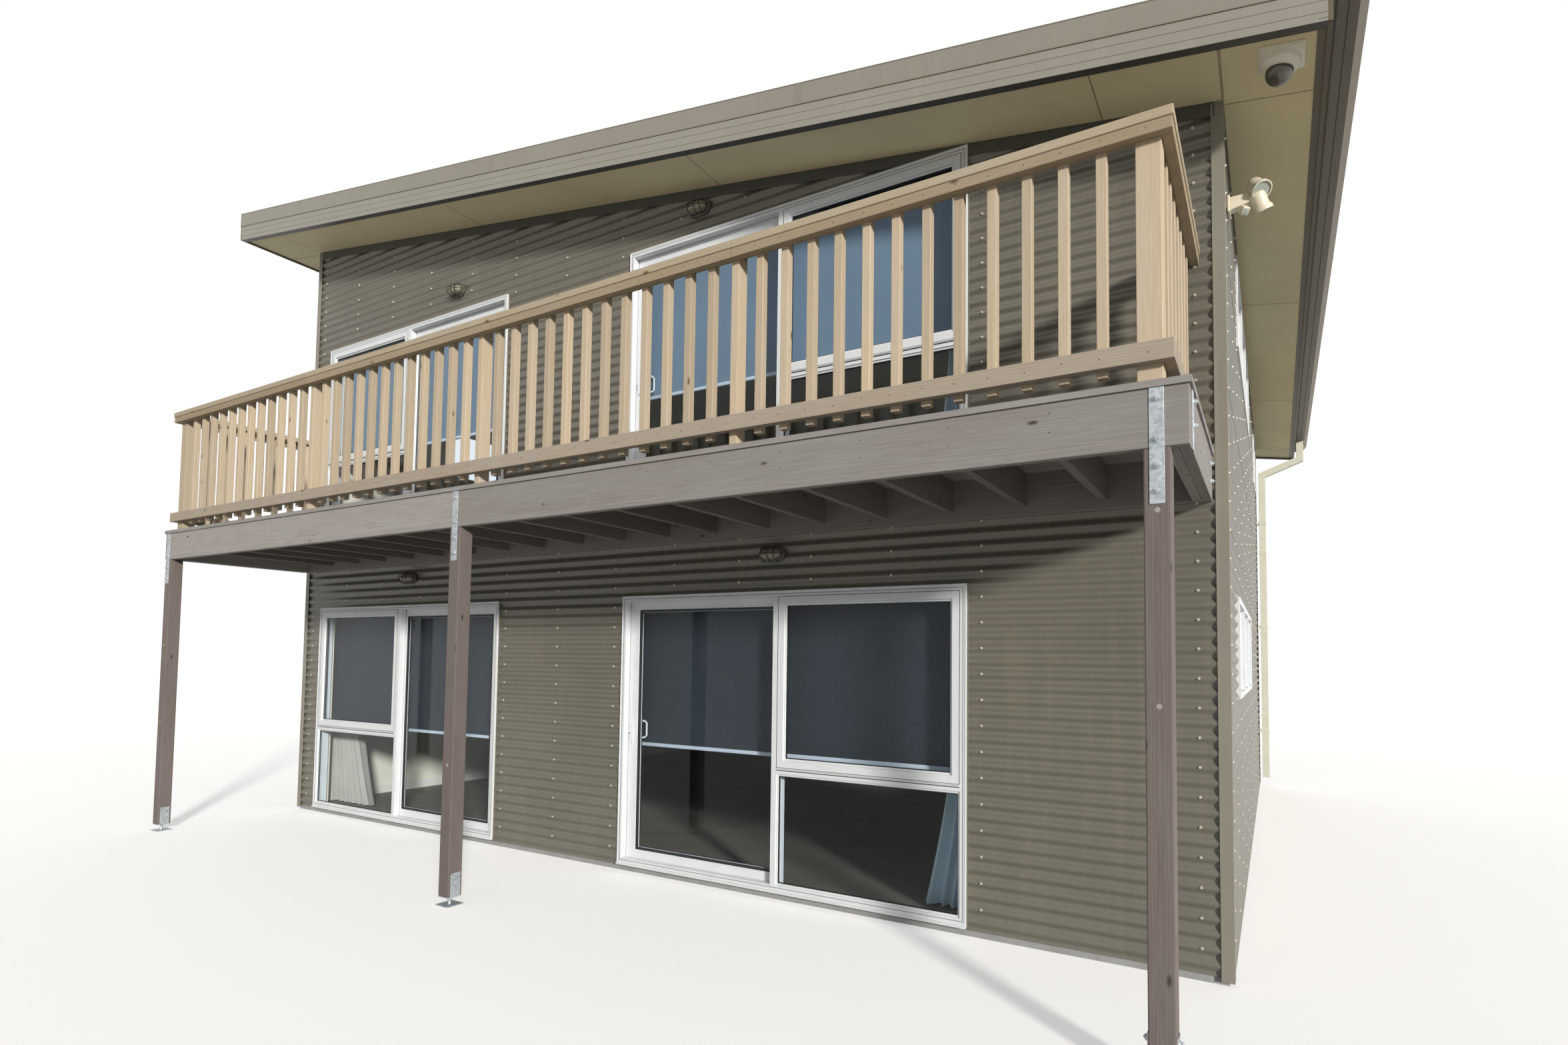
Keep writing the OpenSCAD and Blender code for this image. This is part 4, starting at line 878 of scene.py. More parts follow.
def makeNails():
    mesh = bmesh.new()
    topRail, lowRail, cap, beam = (
        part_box(node) for node in ("top_rails", "bottom_rails", "cap_boards", "deck_beams"))
    topZ, lowZ = (topRail[0].z + topRail[1].z) / 2, (lowRail[0].z + lowRail[1].z) / 2
    topSlip, lowSlip = fixings["topSlip"], fixings["lowSlip"]
    for low, high in solidBoxes("front_balusters") + newels:
        x = (low.x + high.x) / 2
        heights = [z + random.uniform(-slip, slip) * mm for z, slip in ((topZ, topSlip), (lowZ, lowSlip))]
        for z in heights:
            place = (x + random.uniform(-topSlip, topSlip) * mm, topRail[0].y, z)
            stamp(mesh, nailHead, facing((0, -1, 0), place))
    for node, x, way in (("left_balusters", topRail[0].x, -1), ("right_balusters", topRail[1].x, 1)):
        for low, high in solidBoxes(node):
            for z in (topZ, lowZ):
                stamp(mesh, nailHead, facing((way, 0, 0), (x, (low.y + high.y) / 2, z)))
    for low, high in solidBoxes("front_balusters")[::fixings["capEvery"]] + newels:
        for back in fixings["capNails"]:
            place = ((low.x + high.x) / 2, cap[0].y + back * mm, cap[1].z)
            stamp(mesh, nailHead, facing((0, 0, 1), place))
    planks = solidBoxes("decking")
    for low, high in solidBoxes("deck_joists"):
        x = (low.x + high.x) / 2
        for first, last in planks:
            for share in fixings["plankNails"]:
                stamp(mesh, nailHead, facing((0, 0, 1), (x, first.y + (last.y - first.y) * share, last.z)))
        for drop in fixings["joistNails"]:
            stamp(mesh, nailHead, facing((0, -1, 0), (x, beam[0].y, beam[1].z - drop * mm)))
    addPiece("timber_nails", mesh, nailSteel)


def makeBolts():
    mesh, plugs = bmesh.new(), bmesh.new()
    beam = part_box("deck_beams")
    posts = solidBoxes("ground_posts")
    for low, high in solidBoxes("beam_straps"):
        middle = (low + high) / 2
        if high.y - low.y < 10 * mm:
            for drop in fixings["strapBolts"]:
                stamp(mesh, bolt, facing((0, -1, 0), (middle.x, low.y, high.z - drop * mm)))
        else:
            way = -1 if middle.x < 0 else 1
            face = low.x if way < 0 else high.x
            for drop in fixings["sideBolts"]:
                stamp(mesh, bolt, facing((way, 0, 0), (face, middle.y, high.z - drop * mm)))
    for x, way in ((beam[0].x, -1), (beam[1].x, 1)):
        for drop in fixings["beamBolts"]:
            place = (x, beam[1].y - fixings["beamBoltBack"] * mm, beam[1].z - drop * mm)
            stamp(mesh, bolt, facing((way, 0, 0), place))
    nail = fixings["shoeNails"] * mm
    for low, high in solidBoxes("post_feet"):
        shoe = (low + high) / 2
        for way in (-1, 1):
            for rise in fixings["shoeBolts"]:
                place = (shoe.x + way * fixings["shoeCheek"] * mm, shoe.y, rise * mm)
                stamp(mesh, bolt, facing((way, 0, 0), place))
            for y in (shoe.y - nail, shoe.y + nail):
                place = (shoe.x + way * nail, y, fixings["shoeNailUp"] * mm)
                stamp(mesh, nailHead, facing((0, 0, 1), place))
    for number, height in fixings["plugs"]:
        low, high = posts[number]
        middle = (low + high) / 2
        stamp(plugs, plugHead, facing((-1, 0, 0), (low.x, middle.y - fixings["plugOff"] * mm, height)))
        stamp(plugs, plugHead, facing((0, -1, 0), (middle.x, low.y, height + fixings["plugRise"])))
    addPiece("bolts_and_washers", mesh, zincSteel, smooth=30)
    addPiece("post_plugs", plugs, plugFiller)


makeNails()
makeBolts()
print("fixings made")


# Eased copies of CAD nodes
def easedCopy(name, node, material, radius, body="building", shortest=0.0, degrees=25):
    mesh = cadMesh(node)
    edges = [e for e in mesh.edges if e.is_manifold and e.calc_length() > shortest]
    easeEdges(mesh, radius, 2, degrees, edges)
    addPiece(name, mesh, material, body, [node])


easedCopy("main_unit_frame", "main_frame", powderCoat, 1.6 * mm)
easedCopy("side_unit_frame", "side_frame", powderCoat, 1.6 * mm)
easedCopy("upper_unit_frames", "upper_frames", powderCoat, 1.6 * mm)
easedCopy("main_leaf_frame", "main_leaf", powderCoat, 2 * mm, "main_sliding_leaf")
easedCopy("side_leaf_frame", "side_leaf", powderCoat, 2 * mm, "side_sliding_leaf")
easedCopy("upper_leaf_frames", "upper_leaves", powderCoat, 2 * mm)
easedCopy("awning_sash_frames", "awning_sashes", powderCoat, 2.5 * mm)
easedCopy("side_window_frames", "wall_windows", powderCoat, 1.6 * mm)
easedCopy("rainwater_pipe", "downpipe", creamPipe, 7 * mm, shortest=0.07)
easedCopy("strap_plates", "beam_straps", zincSteel, 1 * mm)
easedCopy("post_shoes", "post_feet", zincSteel, 0.8 * mm)


def splitCopy(node, parts):
    # the solids of one CAD node as pieces of different finishes: those a test accepts, and the rest
    for name, material, wanted in parts:
        mesh = cadMesh(node)
        rest = [v for group in islands(mesh) if not wanted(*spanOf(group)) for v in group]
        bmesh.ops.delete(mesh, geom=rest, context="VERTS")
        easeEdges(mesh, 0.8 * mm, 2)
        addPiece(name, mesh, material, stands=[node])


bandTop = upperFloor + 0.05
# the eave strips get the darker steel, which paints the shade under the eave
splitCopy("wall_flashings", (("floor_band", foldedSteel, lambda low, high: high.z < bandTop),
                             ("eave_strips", eaveShadeSteel, lambda low, high: low.z > bandTop)))
print("eased copies made")


# Seals, beads and profile lines of the units
def addRing(mesh, x0, x1, z0, z1, wide, y0, y1, ease=0.0):
    # a flat rectangular ring in the front's plane, from depth y0 to y1
    own = bmesh.new()
    turn = Matrix.Translation(((x0 + x1) / 2, y0, (z0 + z1) / 2)) @ Matrix.Rotation(math.radians(90), 4, "X")
    bmesh.ops.create_grid(own, x_segments=1, y_segments=1, size=0.5, matrix=turn)
    middle = Vector(((x0 + x1) / 2, y0, (z0 + z1) / 2))
    for vert in own.verts:
        vert.co.x = middle.x + (vert.co.x - middle.x) * (x1 - x0)
        vert.co.z = middle.z + (vert.co.z - middle.z) * (z1 - z0)
    centre = own.faces[:]
    bmesh.ops.inset_region(own, faces=centre, thickness=wide, use_even_offset=True, use_boundary=True)
    bmesh.ops.delete(own, geom=centre, context="FACES")
    thicken(own, (0, y1 - y0, 0))
    if ease > 0:
        easeEdges(own, ease, 2)
    pour(own, mesh)


joint = {
    "beadWide": 13 * mm,
    "beadDeep": 9 * mm,
    "sealWide": 5 * mm,
    "sealDeep": 4 * mm,
    # the leaf seal's black width is partly real gasket and partly painted shade of the recess round the glass
    "leafSeal": 17 * mm,     # a sliding leaf's outer seal, which stands in place of a bead
    "leafSealDeep": 14 * mm,
    "leafBead": 20 * mm,     # and its inner bead, of which the last few millimetres show through the glass
}


def glazePane(beads, seals, low, high, outward, leaf):
    # a bead and a black seal round both faces of a pane; outward is the wall's outer side as a vector
    side = abs(outward.x) > 0.5
    own = [bmesh.new(), bmesh.new()]
    a0, a1 = (low.y, high.y) if side else (low.x, high.x)
    d0, d1 = (low.x, high.x) if side else (low.y, high.y)
    inset = joint["leafBead"] if leaf else joint["beadWide"]
    for depth, way in ((d0, -1), (d1, 1)):
        if leaf and way < 0:
            addRing(own[1], a0, a1, low.z, high.z, joint["leafSeal"], depth, depth - joint["leafSealDeep"],
                    1 * mm)
            continue
        addRing(own[0], a0, a1, low.z, high.z, inset, depth, depth + way * joint["beadDeep"], 2.5 * mm)
        addRing(own[1], a0 + inset, a1 - inset, low.z + inset, high.z - inset, joint["sealWide"], depth,
                depth + way * joint["sealDeep"], 0.8 * mm)
    swap = Matrix(((0, 1, 0, 0), (1, 0, 0, 0), (0, 0, 1, 0), (0, 0, 0, 1)))
    for part, target in zip(own, (beads, seals)):
        if side:
            bmesh.ops.transform(part, matrix=swap, verts=part.verts)
            bmesh.ops.reverse_faces(part, faces=part.faces)
        pour(part, target)


def glazeNodes(label, nodes, body):
    beads, seals = bmesh.new(), bmesh.new()
    for node in nodes:
        for low, high in solidBoxes(node):
            size = high - low
            outward = Vector((1, 0, 0)) if size.x < size.y else Vector((0, 1, 0))
            glazePane(beads, seals, low, high, outward, "leaf" in node)
    addPiece(label + "_glazing_beads", beads, powderCoat, body)
    addPiece(label + "_glazing_seals", seals, rubberAndShadeBlack, body)


glazeNodes("fixed", ["main_panes", "side_panes"], "building")
glazeNodes("upper", ["upper_panes"], "building")
glazeNodes("window", ["wall_window_glass"], "building")
glazeNodes("main_leaf", ["main_leaf_glass"], "main_sliding_leaf")
glazeNodes("side_leaf", ["side_leaf_glass"], "side_sliding_leaf")

unitFrames = [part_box("main_frame"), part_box("side_frame")] + solidBoxes("upper_frames")
unit = {
    "rim": 9 * mm,
    "rimProud": 3 * mm,
    "rimFoot": 16 * mm,      # above the sill's foot, as are the groove's foot and the screws
    "grooveFoot": 34 * mm,
    "screwUp": 27 * mm,
    "groove": 3 * mm,
    "grooveIn": 20 * mm,     # from the frame's sides and top
    "grooveProud": 0.4 * mm,
    "face": 12 * mm,         # frame's face in front of the crests
    "sashDrip": 6 * mm,
    "trim": 9 * mm,          # folded strip that closes the waves beside a unit
    "trimDeep": 15 * mm,
    "screwEvery": 0.46,
}


def makeUnitLines():
    # a rim round each unit, drips under the awning sashes and screws along the sills
    lines, screws, grooves, trims = bmesh.new(), bmesh.new(), bmesh.new(), bmesh.new()
    face = frontY - unit["face"]
    for low, high in unitFrames:
        foot, inset = low.z + unit["rimFoot"], unit["grooveIn"]
        addRing(lines, low.x, high.x, foot, high.z, unit["rim"], face, face - unit["rimProud"], 1 * mm)
        # flat black strips, only just proud of the frame, paint the shade of its grooves
        addRing(grooves, low.x + inset, high.x - inset, low.z + unit["grooveFoot"], high.z - inset,
                unit["groove"], face + 1 * mm, face - unit["grooveProud"], 0.2 * mm)
        for x, way in ((low.x, -1), (high.x, 1)):
            addBlock(trims, (x, frontY - 0.8 * mm, low.z),
                     (x + way * unit["trim"], frontY + unit["trimDeep"], high.z), 0.8 * mm)
        count = int((high.x - low.x) / unit["screwEvery"])
        for k in range(count):
            x = low.x + (k + 0.5) * (high.x - low.x) / count
            stamp(screws, rivetHead, facing((0, -1, 0), (x, face, low.z + unit["screwUp"])))
    for low, high in solidBoxes("awning_sashes"):
        # a drip in two steps under the sash, and black strips round and below it that paint the shade of its
        # gaps
        for step in (0, 1):
            out = low.y - (unit["sashDrip"] - step * 3 * mm)
            addBlock(lines, (low.x - 4 * mm, out, low.z - 5 * mm - step * 7 * mm),
                     (high.x + 4 * mm, low.y + 3 * mm, low.z - step * 7 * mm), 1.2 * mm)
        proud = low.y - unit["grooveProud"]
        addRing(grooves, low.x, high.x, low.z, high.z, unit["groove"], low.y + 1 * mm, proud, 0.2 * mm)
        addBlock(grooves, (low.x, proud, low.z - 19 * mm), (high.x, low.y + 2 * mm, low.z - 15 * mm))
    addPiece("unit_profile_lines", lines, powderCoat)
    addPiece("unit_shadow_grooves", grooves, rubberAndShadeBlack)
    addPiece("unit_jamb_trims", trims, wallSteel)
    addPiece("sill_screws", screws, screwZinc)


makeUnitLines()


pull = {
    "fromEnd": 28 * mm,      # where the outline starts, from the CAD pull's near side
    "footDown": 87 * mm,     # the outline's foot below the CAD pull's middle
    "thick": 8 * mm,
    # points in millimetres, from the latch's near side and the pull's foot, or from the grip's top
    "outline": ((51, 20), (51, 138), (45, 141), (28, 137), (16, 98), (1, 64), (1, 48), (21, 12), (22, -27),
                (49, -29)),
    "key": (14, 50),
    "grip": ((27, 0, 0), (36, 14, -2), (84, 50, -15), (93, 56, -28), (93, 56, -122), (84, 50, -135),
             (36, 14, -148), (27, 0, -150)),
    "lever": ((30, 10, -52), (40, 24, -44), (52, 36, -30)),
}


def tubeAlong(mesh, points, wide, deep, matrix, sides=14):
    # a rounded bar swept through points: its end face is extruded to each next ring
    own = bmesh.new()
    places = [Vector(p) * mm for p in points]
    bmesh.ops.create_circle(own, cap_ends=True, segments=sides, radius=1.0)
    own.faces.ensure_lookup_table()
    cap = own.faces[0]
    last = Matrix()
    for k, place in enumerate(places):
        ahead = (places[min(k + 1, len(places) - 1)] - places[max(k - 1, 0)]).normalized()
        across = ahead.cross(Vector((0.6, -0.8, 0))).normalized()
        second = across.cross(ahead)
        turn = Matrix((second * wide, across * deep, ahead)).transposed().to_4x4()
        here = Matrix.Translation(place) @ turn
        if k:
            made = bmesh.ops.extrude_face_region(own, geom=[cap])["geom"]
            cap = next(f for f in made if isinstance(f, bmesh.types.BMFace))
        bmesh.ops.transform(own, matrix=here @ last.inverted(), verts=cap.verts)
        last = here
    bmesh.ops.recalc_face_normals(own, faces=own.faces)
    bmesh.ops.transform(own, matrix=matrix, verts=own.verts)
    bmesh.ops.recalc_face_normals(own, faces=own.faces)
    pour(own, mesh)


def addPull(plates, barrels, grips, start, way, outer, foot):
    # a flat outer latch with a waist and a keyhole, and inside a cranked grip with a small lever
    own = bmesh.new()
    own.faces.new([own.verts.new((way * x * mm, 0, z * mm)) for x, z in pull["outline"]])
    thicken(own, (0, pull["thick"], 0))
    easeEdges(own, 1.6 * mm, 2, 40)
    bmesh.ops.translate(own, vec=(start, outer, foot), verts=own.verts)
    pour(own, plates)
    key = Vector((start + way * pull["key"][0] * mm, outer - 0.6 * mm, foot + pull["key"][1] * mm))
    bmesh.ops.create_cone(barrels, cap_ends=True, segments=20, radius1=5.5 * mm, radius2=5 * mm,
                          depth=2.4 * mm, matrix=facing((0, -1, 0), key))
    inner, top = outer + 48 * mm, foot + 150 * mm
    place = Matrix.Translation((start, inner, top)) @ Matrix.Scale(way, 4, (1, 0, 0))
    tubeAlong(grips, pull["grip"], 13 * mm, 8 * mm, place)
    tubeAlong(grips, pull["lever"], 5 * mm, 3 * mm, place, 10)
    for z in (0, -150):
        centre = Vector((start + way * 27 * mm, inner + 1.5 * mm, top + z * mm))
        addBlock(grips, centre - Vector((12, 1.5, 14)) * mm, centre + Vector((12, 1.5, 14)) * mm, 1.2 * mm)


def makePulls():
    sets = []
    for label, way in (("main", 1), ("side", -1)):
        low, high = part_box(label + "_pull")
        start = low.x - pull["fromEnd"] if way > 0 else high.x + pull["fromEnd"]
        place = (start, way, (low.z + high.z) / 2 - pull["footDown"])
        sets.append((label, label + "_sliding_leaf", [label + "_pull"], [place]))
    lift = solidBoxes("upper_frames")[0][0].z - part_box("main_frame")[0].z
    upper = [(start, way, foot + lift) for entry in sets for start, way, foot in entry[3]]
    sets.append(("upper", "building", [], upper))
    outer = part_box("main_pull")[0].y
    for label, body, nodes, places in sets:
        plates, barrels, grips = bmesh.new(), bmesh.new(), bmesh.new()
        for start, way, foot in places:
            addPull(plates, barrels, grips, start, way, outer, foot)
        addPiece(label + "_latch_plate", plates, powderCoat, body, nodes)
        addPiece(label + "_latch_barrel", barrels, rubberAndShadeBlack, body, smooth=30)
        addPiece(label + "_inner_grip", grips, powderCoat, body, nodes, smooth=45)


makePulls()
print("units detailed")


# Blinds and curtains
blind = {
    "hem": 3 * mm,
    "ripple": 1.2 * mm,
    "rows": 24,
    "columns": 60,
}


def hangBlind(label, low, high):
    # a flat roller cloth with the slight waves of its own weight
    mesh = bmesh.new()
    width, drop = high.x - low.x - 2 * blind["hem"], high.z - low.z
    middle = Vector(((low.x + high.x) / 2, (low.y + high.y) / 2, (low.z + high.z) / 2))
    bmesh.ops.create_grid(mesh, x_segments=blind["columns"], y_segments=blind["rows"], size=0.5,
                          matrix=Matrix.Rotation(math.radians(90), 4, "X"))
    for vert in mesh.verts:
        across, up = vert.co.x, vert.co.z
        wave = math.sin(across * 19) * math.cos(up * 2.5) + 0.5 * math.sin(across * 47 + 1)
        fade = 1 - (2 * abs(up)) ** 4
        vert.co = (middle.x + across * width, middle.y + blind["ripple"] * wave * fade, middle.z + up * drop)
    # the upper blinds get the paler, bluer cloth of painted sky reflection
    cloth = reflectionBlueCloth if low.z > upperFloor else slateCloth
    piece = addPiece(label + "_blind_cloth", mesh, cloth, stands=["blind_cloths"], smooth=60)


def makeBlinds():
    rolls, bars, ends = bmesh.new(), bmesh.new(), bmesh.new()
    for low, high in solidBoxes("blind_rollers"):
        size = high - low
        middle = (low + high) / 2
        if size.x < 0.05:
            addBlock(ends, low, high, 1.5 * mm)
        elif size.z < 0.035:
            addBlock(bars, low, high, 7 * mm, 4)
            for x in (low.x, high.x):
                addBlock(ends, (x - 1 * mm, low.y - 1 * mm, low.z - 1 * mm),
                         (x + 1 * mm, high.y + 1 * mm, high.z + 1 * mm), 0.5 * mm)
        else:
            turn = Matrix.Translation(middle) @ Matrix.Rotation(math.radians(90), 4, "Y")
            bmesh.ops.create_cone(rolls, cap_ends=True, segments=40, radius1=size.z / 2, radius2=size.z / 2,
                                  depth=size.x, matrix=turn)
    addPiece("blind_rolls", rolls, slateCloth, stands=["blind_rollers"], smooth=30)
    addPiece("blind_bottom_bars", bars, barAlloy, stands=["blind_rollers"], smooth=30)
    addPiece("blind_brackets", ends, powderCoat, stands=["blind_rollers"])
    for low, high in solidBoxes("blind_cloths"):
        level = "upper" if low.z > upperFloor else "lower"
        hangBlind(level + ("_left" if low.x < -1 else "_right"), low, high)


makeBlinds()


curtains = {
    # floor, cloth, its sides at the top and at the foot, and its flat width
    "lower_left": ("floor_slab", shadedCreamLinen, (-4.12, -3.84), (-4.12, -3.42), 1.5),
    "lower_right": ("floor_slab", sunlitBlueLinen, (2.80, 3.08), (2.54, 3.08), 1.25),
    "upper_right": ("upper_floor", sunlitBlueLinen, (2.74, 3.08), (2.60, 3.08), 1.25),
}
curtainHang = {
    "depth": 0.275,          # from the crests to the middle of the folds
    "folds": 8,
    "perFold": 12,
    "rows": 36,
    "railUp": 2.12,          # above the floor
    "footUp": 0.025,
    "railOver": 0.05,        # past the cloth at each end
    "armIn": 0.06,           # from the rail's end
}


def foldDepth(span, cut):
    # depth of the folds that lets a cut width of cloth stand in a narrower span
    low, high = 0.0, 0.2
    samples, halvings = 24, 24
    for _ in range(halvings):
        depth = (low + high) / 2
        length = 0.0
        for k in range(samples):
            step = span / curtainHang["folds"] / samples
            rise = depth * (math.sin(2 * math.pi * (k + 1) / samples) - math.sin(2 * math.pi * k / samples))
            length += math.hypot(step, rise)
        if length * curtainHang["folds"] < cut:
            low = depth
        else:
            high = depth
    return (low + high) / 2


def hangCurtain(name, top, foot, cloth, topSides, footSides, cut):
    mesh = bmesh.new()
    columns = curtainHang["folds"] * curtainHang["perFold"]
    bmesh.ops.create_grid(mesh, x_segments=columns, y_segments=curtainHang["rows"], size=0.5,
                          matrix=Matrix.Rotation(math.radians(90), 4, "X"))
    depths = {}
    for vert in mesh.verts:
        across, up = vert.co.x + 0.5, vert.co.z + 0.5
        flare = (1 - up) ** 1.9
        x0, x1 = (a + (b - a) * flare for a, b in zip(topSides, footSides))
        key = round(up, 4)
        if key not in depths:
            depths[key] = foldDepth(x1 - x0, cut)
        # folds of uneven width that lean a little towards the foot
        uneven = 0.03 * math.sin(across * 9 + 2) + 0.012 * math.sin(across * 25)
        phase = (across + uneven) * curtainHang["folds"] * 2 * math.pi
        lean = 0.25 * math.sin(phase * 0.5 + 1.3) * (1 - up)
        y = frontY + curtainHang["depth"] + depths[key] * math.sin(phase + lean)
        vert.co = (x0 + (x1 - x0) * across, y, foot + (top - foot) * up)
    return addPiece(name + "_curtain", mesh, cloth, smooth=80)


def makeCurtains():
    rails = bmesh.new()
    wallFace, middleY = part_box("front_band")[1].y, frontY + curtainHang["depth"]
    for name, (floor, cloth, topSides, footSides, cut) in curtains.items():
        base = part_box(floor)[1].z
        top, foot = base + curtainHang["railUp"], base + curtainHang["footUp"]
        hangCurtain(name, top, foot, cloth, topSides, footSides, cut)
        x0, x1 = topSides[0] - curtainHang["railOver"], topSides[1] + curtainHang["railOver"]
        addBlock(rails, (x0, middleY - 14 * mm, top), (x1, middleY + 14 * mm, top + 22 * mm), 3 * mm)
        for x in (x0 + curtainHang["armIn"], x1 - curtainHang["armIn"]):
            # an arm and its wall plate
            addBlock(rails, (x - 12 * mm, wallFace, top + 4 * mm),
                     (x + 12 * mm, middleY - 10 * mm, top + 16 * mm), 2 * mm)
            addBlock(rails, (x - 14 * mm, wallFace, top - 20 * mm),
                     (x + 14 * mm, wallFace + 4 * mm, top + 34 * mm), 1.5 * mm)
    railPiece = addPiece("curtain_rails", rails, powderCoat)


makeCurtains()


rooms = {
    "carpetThick": 8 * mm,
    "carpetRoom": 2 * mm,    # between the carpet and the walls
    "skirtingThick": 12 * mm,
    "skirtingHigh": 90 * mm,
}


def makeRooms():
    # carpet on the ground floor and skirting boards on both floors
    carpet, boards = bmesh.new(), bmesh.new()
    x0, x1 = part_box("left_wall")[1].x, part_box("right_wall")[0].x
    y0, y1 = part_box("front_band")[1].y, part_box("rear_wall")[0].y
    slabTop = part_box("floor_slab")[1].z
    width, length = x1 - x0 - 2 * rooms["carpetRoom"], y1 - y0 - 2 * rooms["carpetRoom"]
    middle = Vector(((x0 + x1) / 2, (y0 + y1) / 2, slabTop + rooms["carpetThick"]))
    bmesh.ops.create_grid(carpet, x_segments=16, y_segments=16, size=0.5)
    bmesh.ops.scale(carpet, vec=(width, length, 1), verts=carpet.verts)
    bmesh.ops.translate(carpet, vec=middle, verts=carpet.verts)
    thick, high = rooms["skirtingThick"], rooms["skirtingHigh"]
    for floor in (slabTop + rooms["carpetThick"] + 1 * mm, upperFloor):
        for xs, ys in (((x0, x0 + thick), (y0, y1)), ((x1 - thick, x1), (y0, y1)),
                       ((x0 + thick, x1 - thick), (y1 - thick, y1))):
            addBlock(boards, (xs[0], ys[0], floor), (xs[1], ys[1], floor + high), 3 * mm)
    laid = addPiece("ground_floor_carpet", carpet, loopCarpet)
    addPiece("skirting_boards", boards, trimPaint)


makeRooms()
print("blinds, curtains and rooms made")


# Flashings, soffit joints and barge lines, which follow the roof's slope
def slopeBlock(mesh, low, high, radius=0.0):
    # heights are above the soffit's underside at each end
    for vert in addBlock(mesh, low, high, radius, 1):
        vert.co.z += soffitHeight(vert.co.x)


sheetLines = {
    "hem": 9 * mm,
    "hemThick": 1.2 * mm,
    "lapProud": 0.9 * mm,
    "bandDrop": 0.3 * mm,    # the band's top below the upper floor
    "bandHigh": 106 * mm,
    "bandRivets": (88 * mm, 18 * mm),    # below the band's top
    "capFace": 140 * mm,
    "boardDrop": 17 * mm,    # the barge board's foot below the soffit
    "boardFolds": (42 * mm, 96 * mm),    # above its foot
    "stripLap": 1.8,
    "bargeLap": 2.9,
    "rivetEvery": 1.6,
    "jointerWide": 7 * mm,
    "jointerProud": 0.9 * mm,
    "coverWide": 16 * mm,
    "coverProud": 0.5 * mm,
    "frontJointers": (3.7, 1.03, -1.64, wallLeft),
    "jointerEvery": 2.77,    # along the eaves, from just behind the front's corner
}


def makeCornerHems():
    mesh = bmesh.new()
    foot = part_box("corner_flashings")[0].z
    thick, wide, ease = sheetLines["hemThick"], sheetLines["hem"], 0.5 * mm
    for low, high in solidBoxes("corner_flashings"):
        # each leg's hem lies on its outer face, inwards from the leg's inner edge
        wayX, innerX, outerX = (-1, high.x, low.x) if low.x + high.x < 0 else (1, low.x, high.x)
        wayY, innerY, outerY = (-1, high.y, low.y) if low.y + high.y < 0 else (1, low.y, high.y)
        top = min(soffitHeight(low.x), soffitHeight(high.x)) - 2 * mm
        addBlock(mesh, (innerX, outerY, foot), (innerX + wayX * wide, outerY + wayY * thick, top), ease)
        addBlock(mesh, (outerX, innerY, foot), (outerX + wayX * thick, innerY + wayY * wide, top), ease)
    addPiece("corner_flashing_hems", mesh, foldedSteel)


def makeStripLaps():
    mesh, eaves, rivets = bmesh.new(), bmesh.new(), bmesh.new()
    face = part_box("wall_flashings")[0].y
    proud, top = sheetLines["lapProud"], upperFloor - sheetLines["bandDrop"]
    foot = top - sheetLines["bandHigh"]
    for x in stepping(wallLeft + 0.9, wallRight - 0.3, sheetLines["stripLap"]):
        addBlock(mesh, (x, face - proud, foot), (x + 60 * mm, face, top), 0.3 * mm)
        # laps on the eave strip, in the same darker steel of painted shade
        slopeBlock(eaves, (x + 0.4, face - proud, -80 * mm), (x + 0.46, face, -1 * mm))
        for drop in sheetLines["bandRivets"]:
            stamp(rivets, rivetHead, facing((0, -1, 0), (x + 40 * mm, face - proud, top - drop)))
    # a hem along the band's lower edge
    addBlock(mesh, (wallLeft + 0.06, face - sheetLines["hemThick"], foot),
             (wallRight - 0.06, face, foot + 8 * mm), 0.5 * mm)
    addPiece("flashing_laps", mesh, foldedSteel)
    addPiece("eave_strip_laps", eaves, eaveShadeSteel)
    addPiece("flashing_rivets", rivets, foldedSteel)


def makeBargeLines():
    mesh, returns, rivets = bmesh.new(), bmesh.new(), bmesh.new()
    low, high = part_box("barge_boards")
    capLow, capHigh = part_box("barge_capping")
    capTop = capHigh.z - soffitHeight(capLow.x)
    capFoot = capTop - sheetLines["capFace"]
    boardFoot = -sheetLines["boardDrop"]
    for cap, board, way in ((capLow.y, low.y, -1), (capHigh.y, high.y, 1)):
        # folds along the capping's foot and top, and its laps
        for foot, top in ((capFoot, capFoot + 10 * mm), (capTop - 6 * mm, capTop)):
            slopeBlock(mesh, (capLow.x, cap + way * 2 * mm, foot), (capHigh.x, cap - way * mm, top),
                       0.6 * mm)
        for x in stepping(low.x + 1.1, high.x - 0.4, sheetLines["bargeLap"]):
            slopeBlock(mesh, (x, cap, capFoot), (x + 50 * mm, cap + way * sheetLines["lapProud"], capTop))
        for x in stepping(low.x + 0.35, high.x - 0.1, sheetLines["rivetEvery"]):
            z = soffitHeight(x) + capFoot + 22 * mm
            stamp(rivets, rivetHead, facing((0, way, 0), (x, cap, z)))
        # folds along the board, and its return under the barge, in darker steel that paints the shade there
        for rise in sheetLines["boardFolds"]:
            slopeBlock(mesh, (low.x, board, boardFoot + rise),
                       (high.x, board + way * 1.4 * mm, boardFoot + rise + 3 * mm), 0.5 * mm)
        slopeBlock(returns, (low.x, board + way * 1.6 * mm, boardFoot - 2 * mm),
                   (high.x, board - way * 50 * mm, boardFoot), 0.5 * mm)
        slopeBlock(returns, (low.x, board - way * 48 * mm, boardFoot - 2 * mm),
                   (high.x, board - way * 50 * mm, 0.5 * mm))
    addPiece("barge_fold_lines", mesh, foldedSteel)
    addPiece("barge_returns", returns, eaveShadeSteel)
    addPiece("barge_rivets", rivets, foldedSteel)


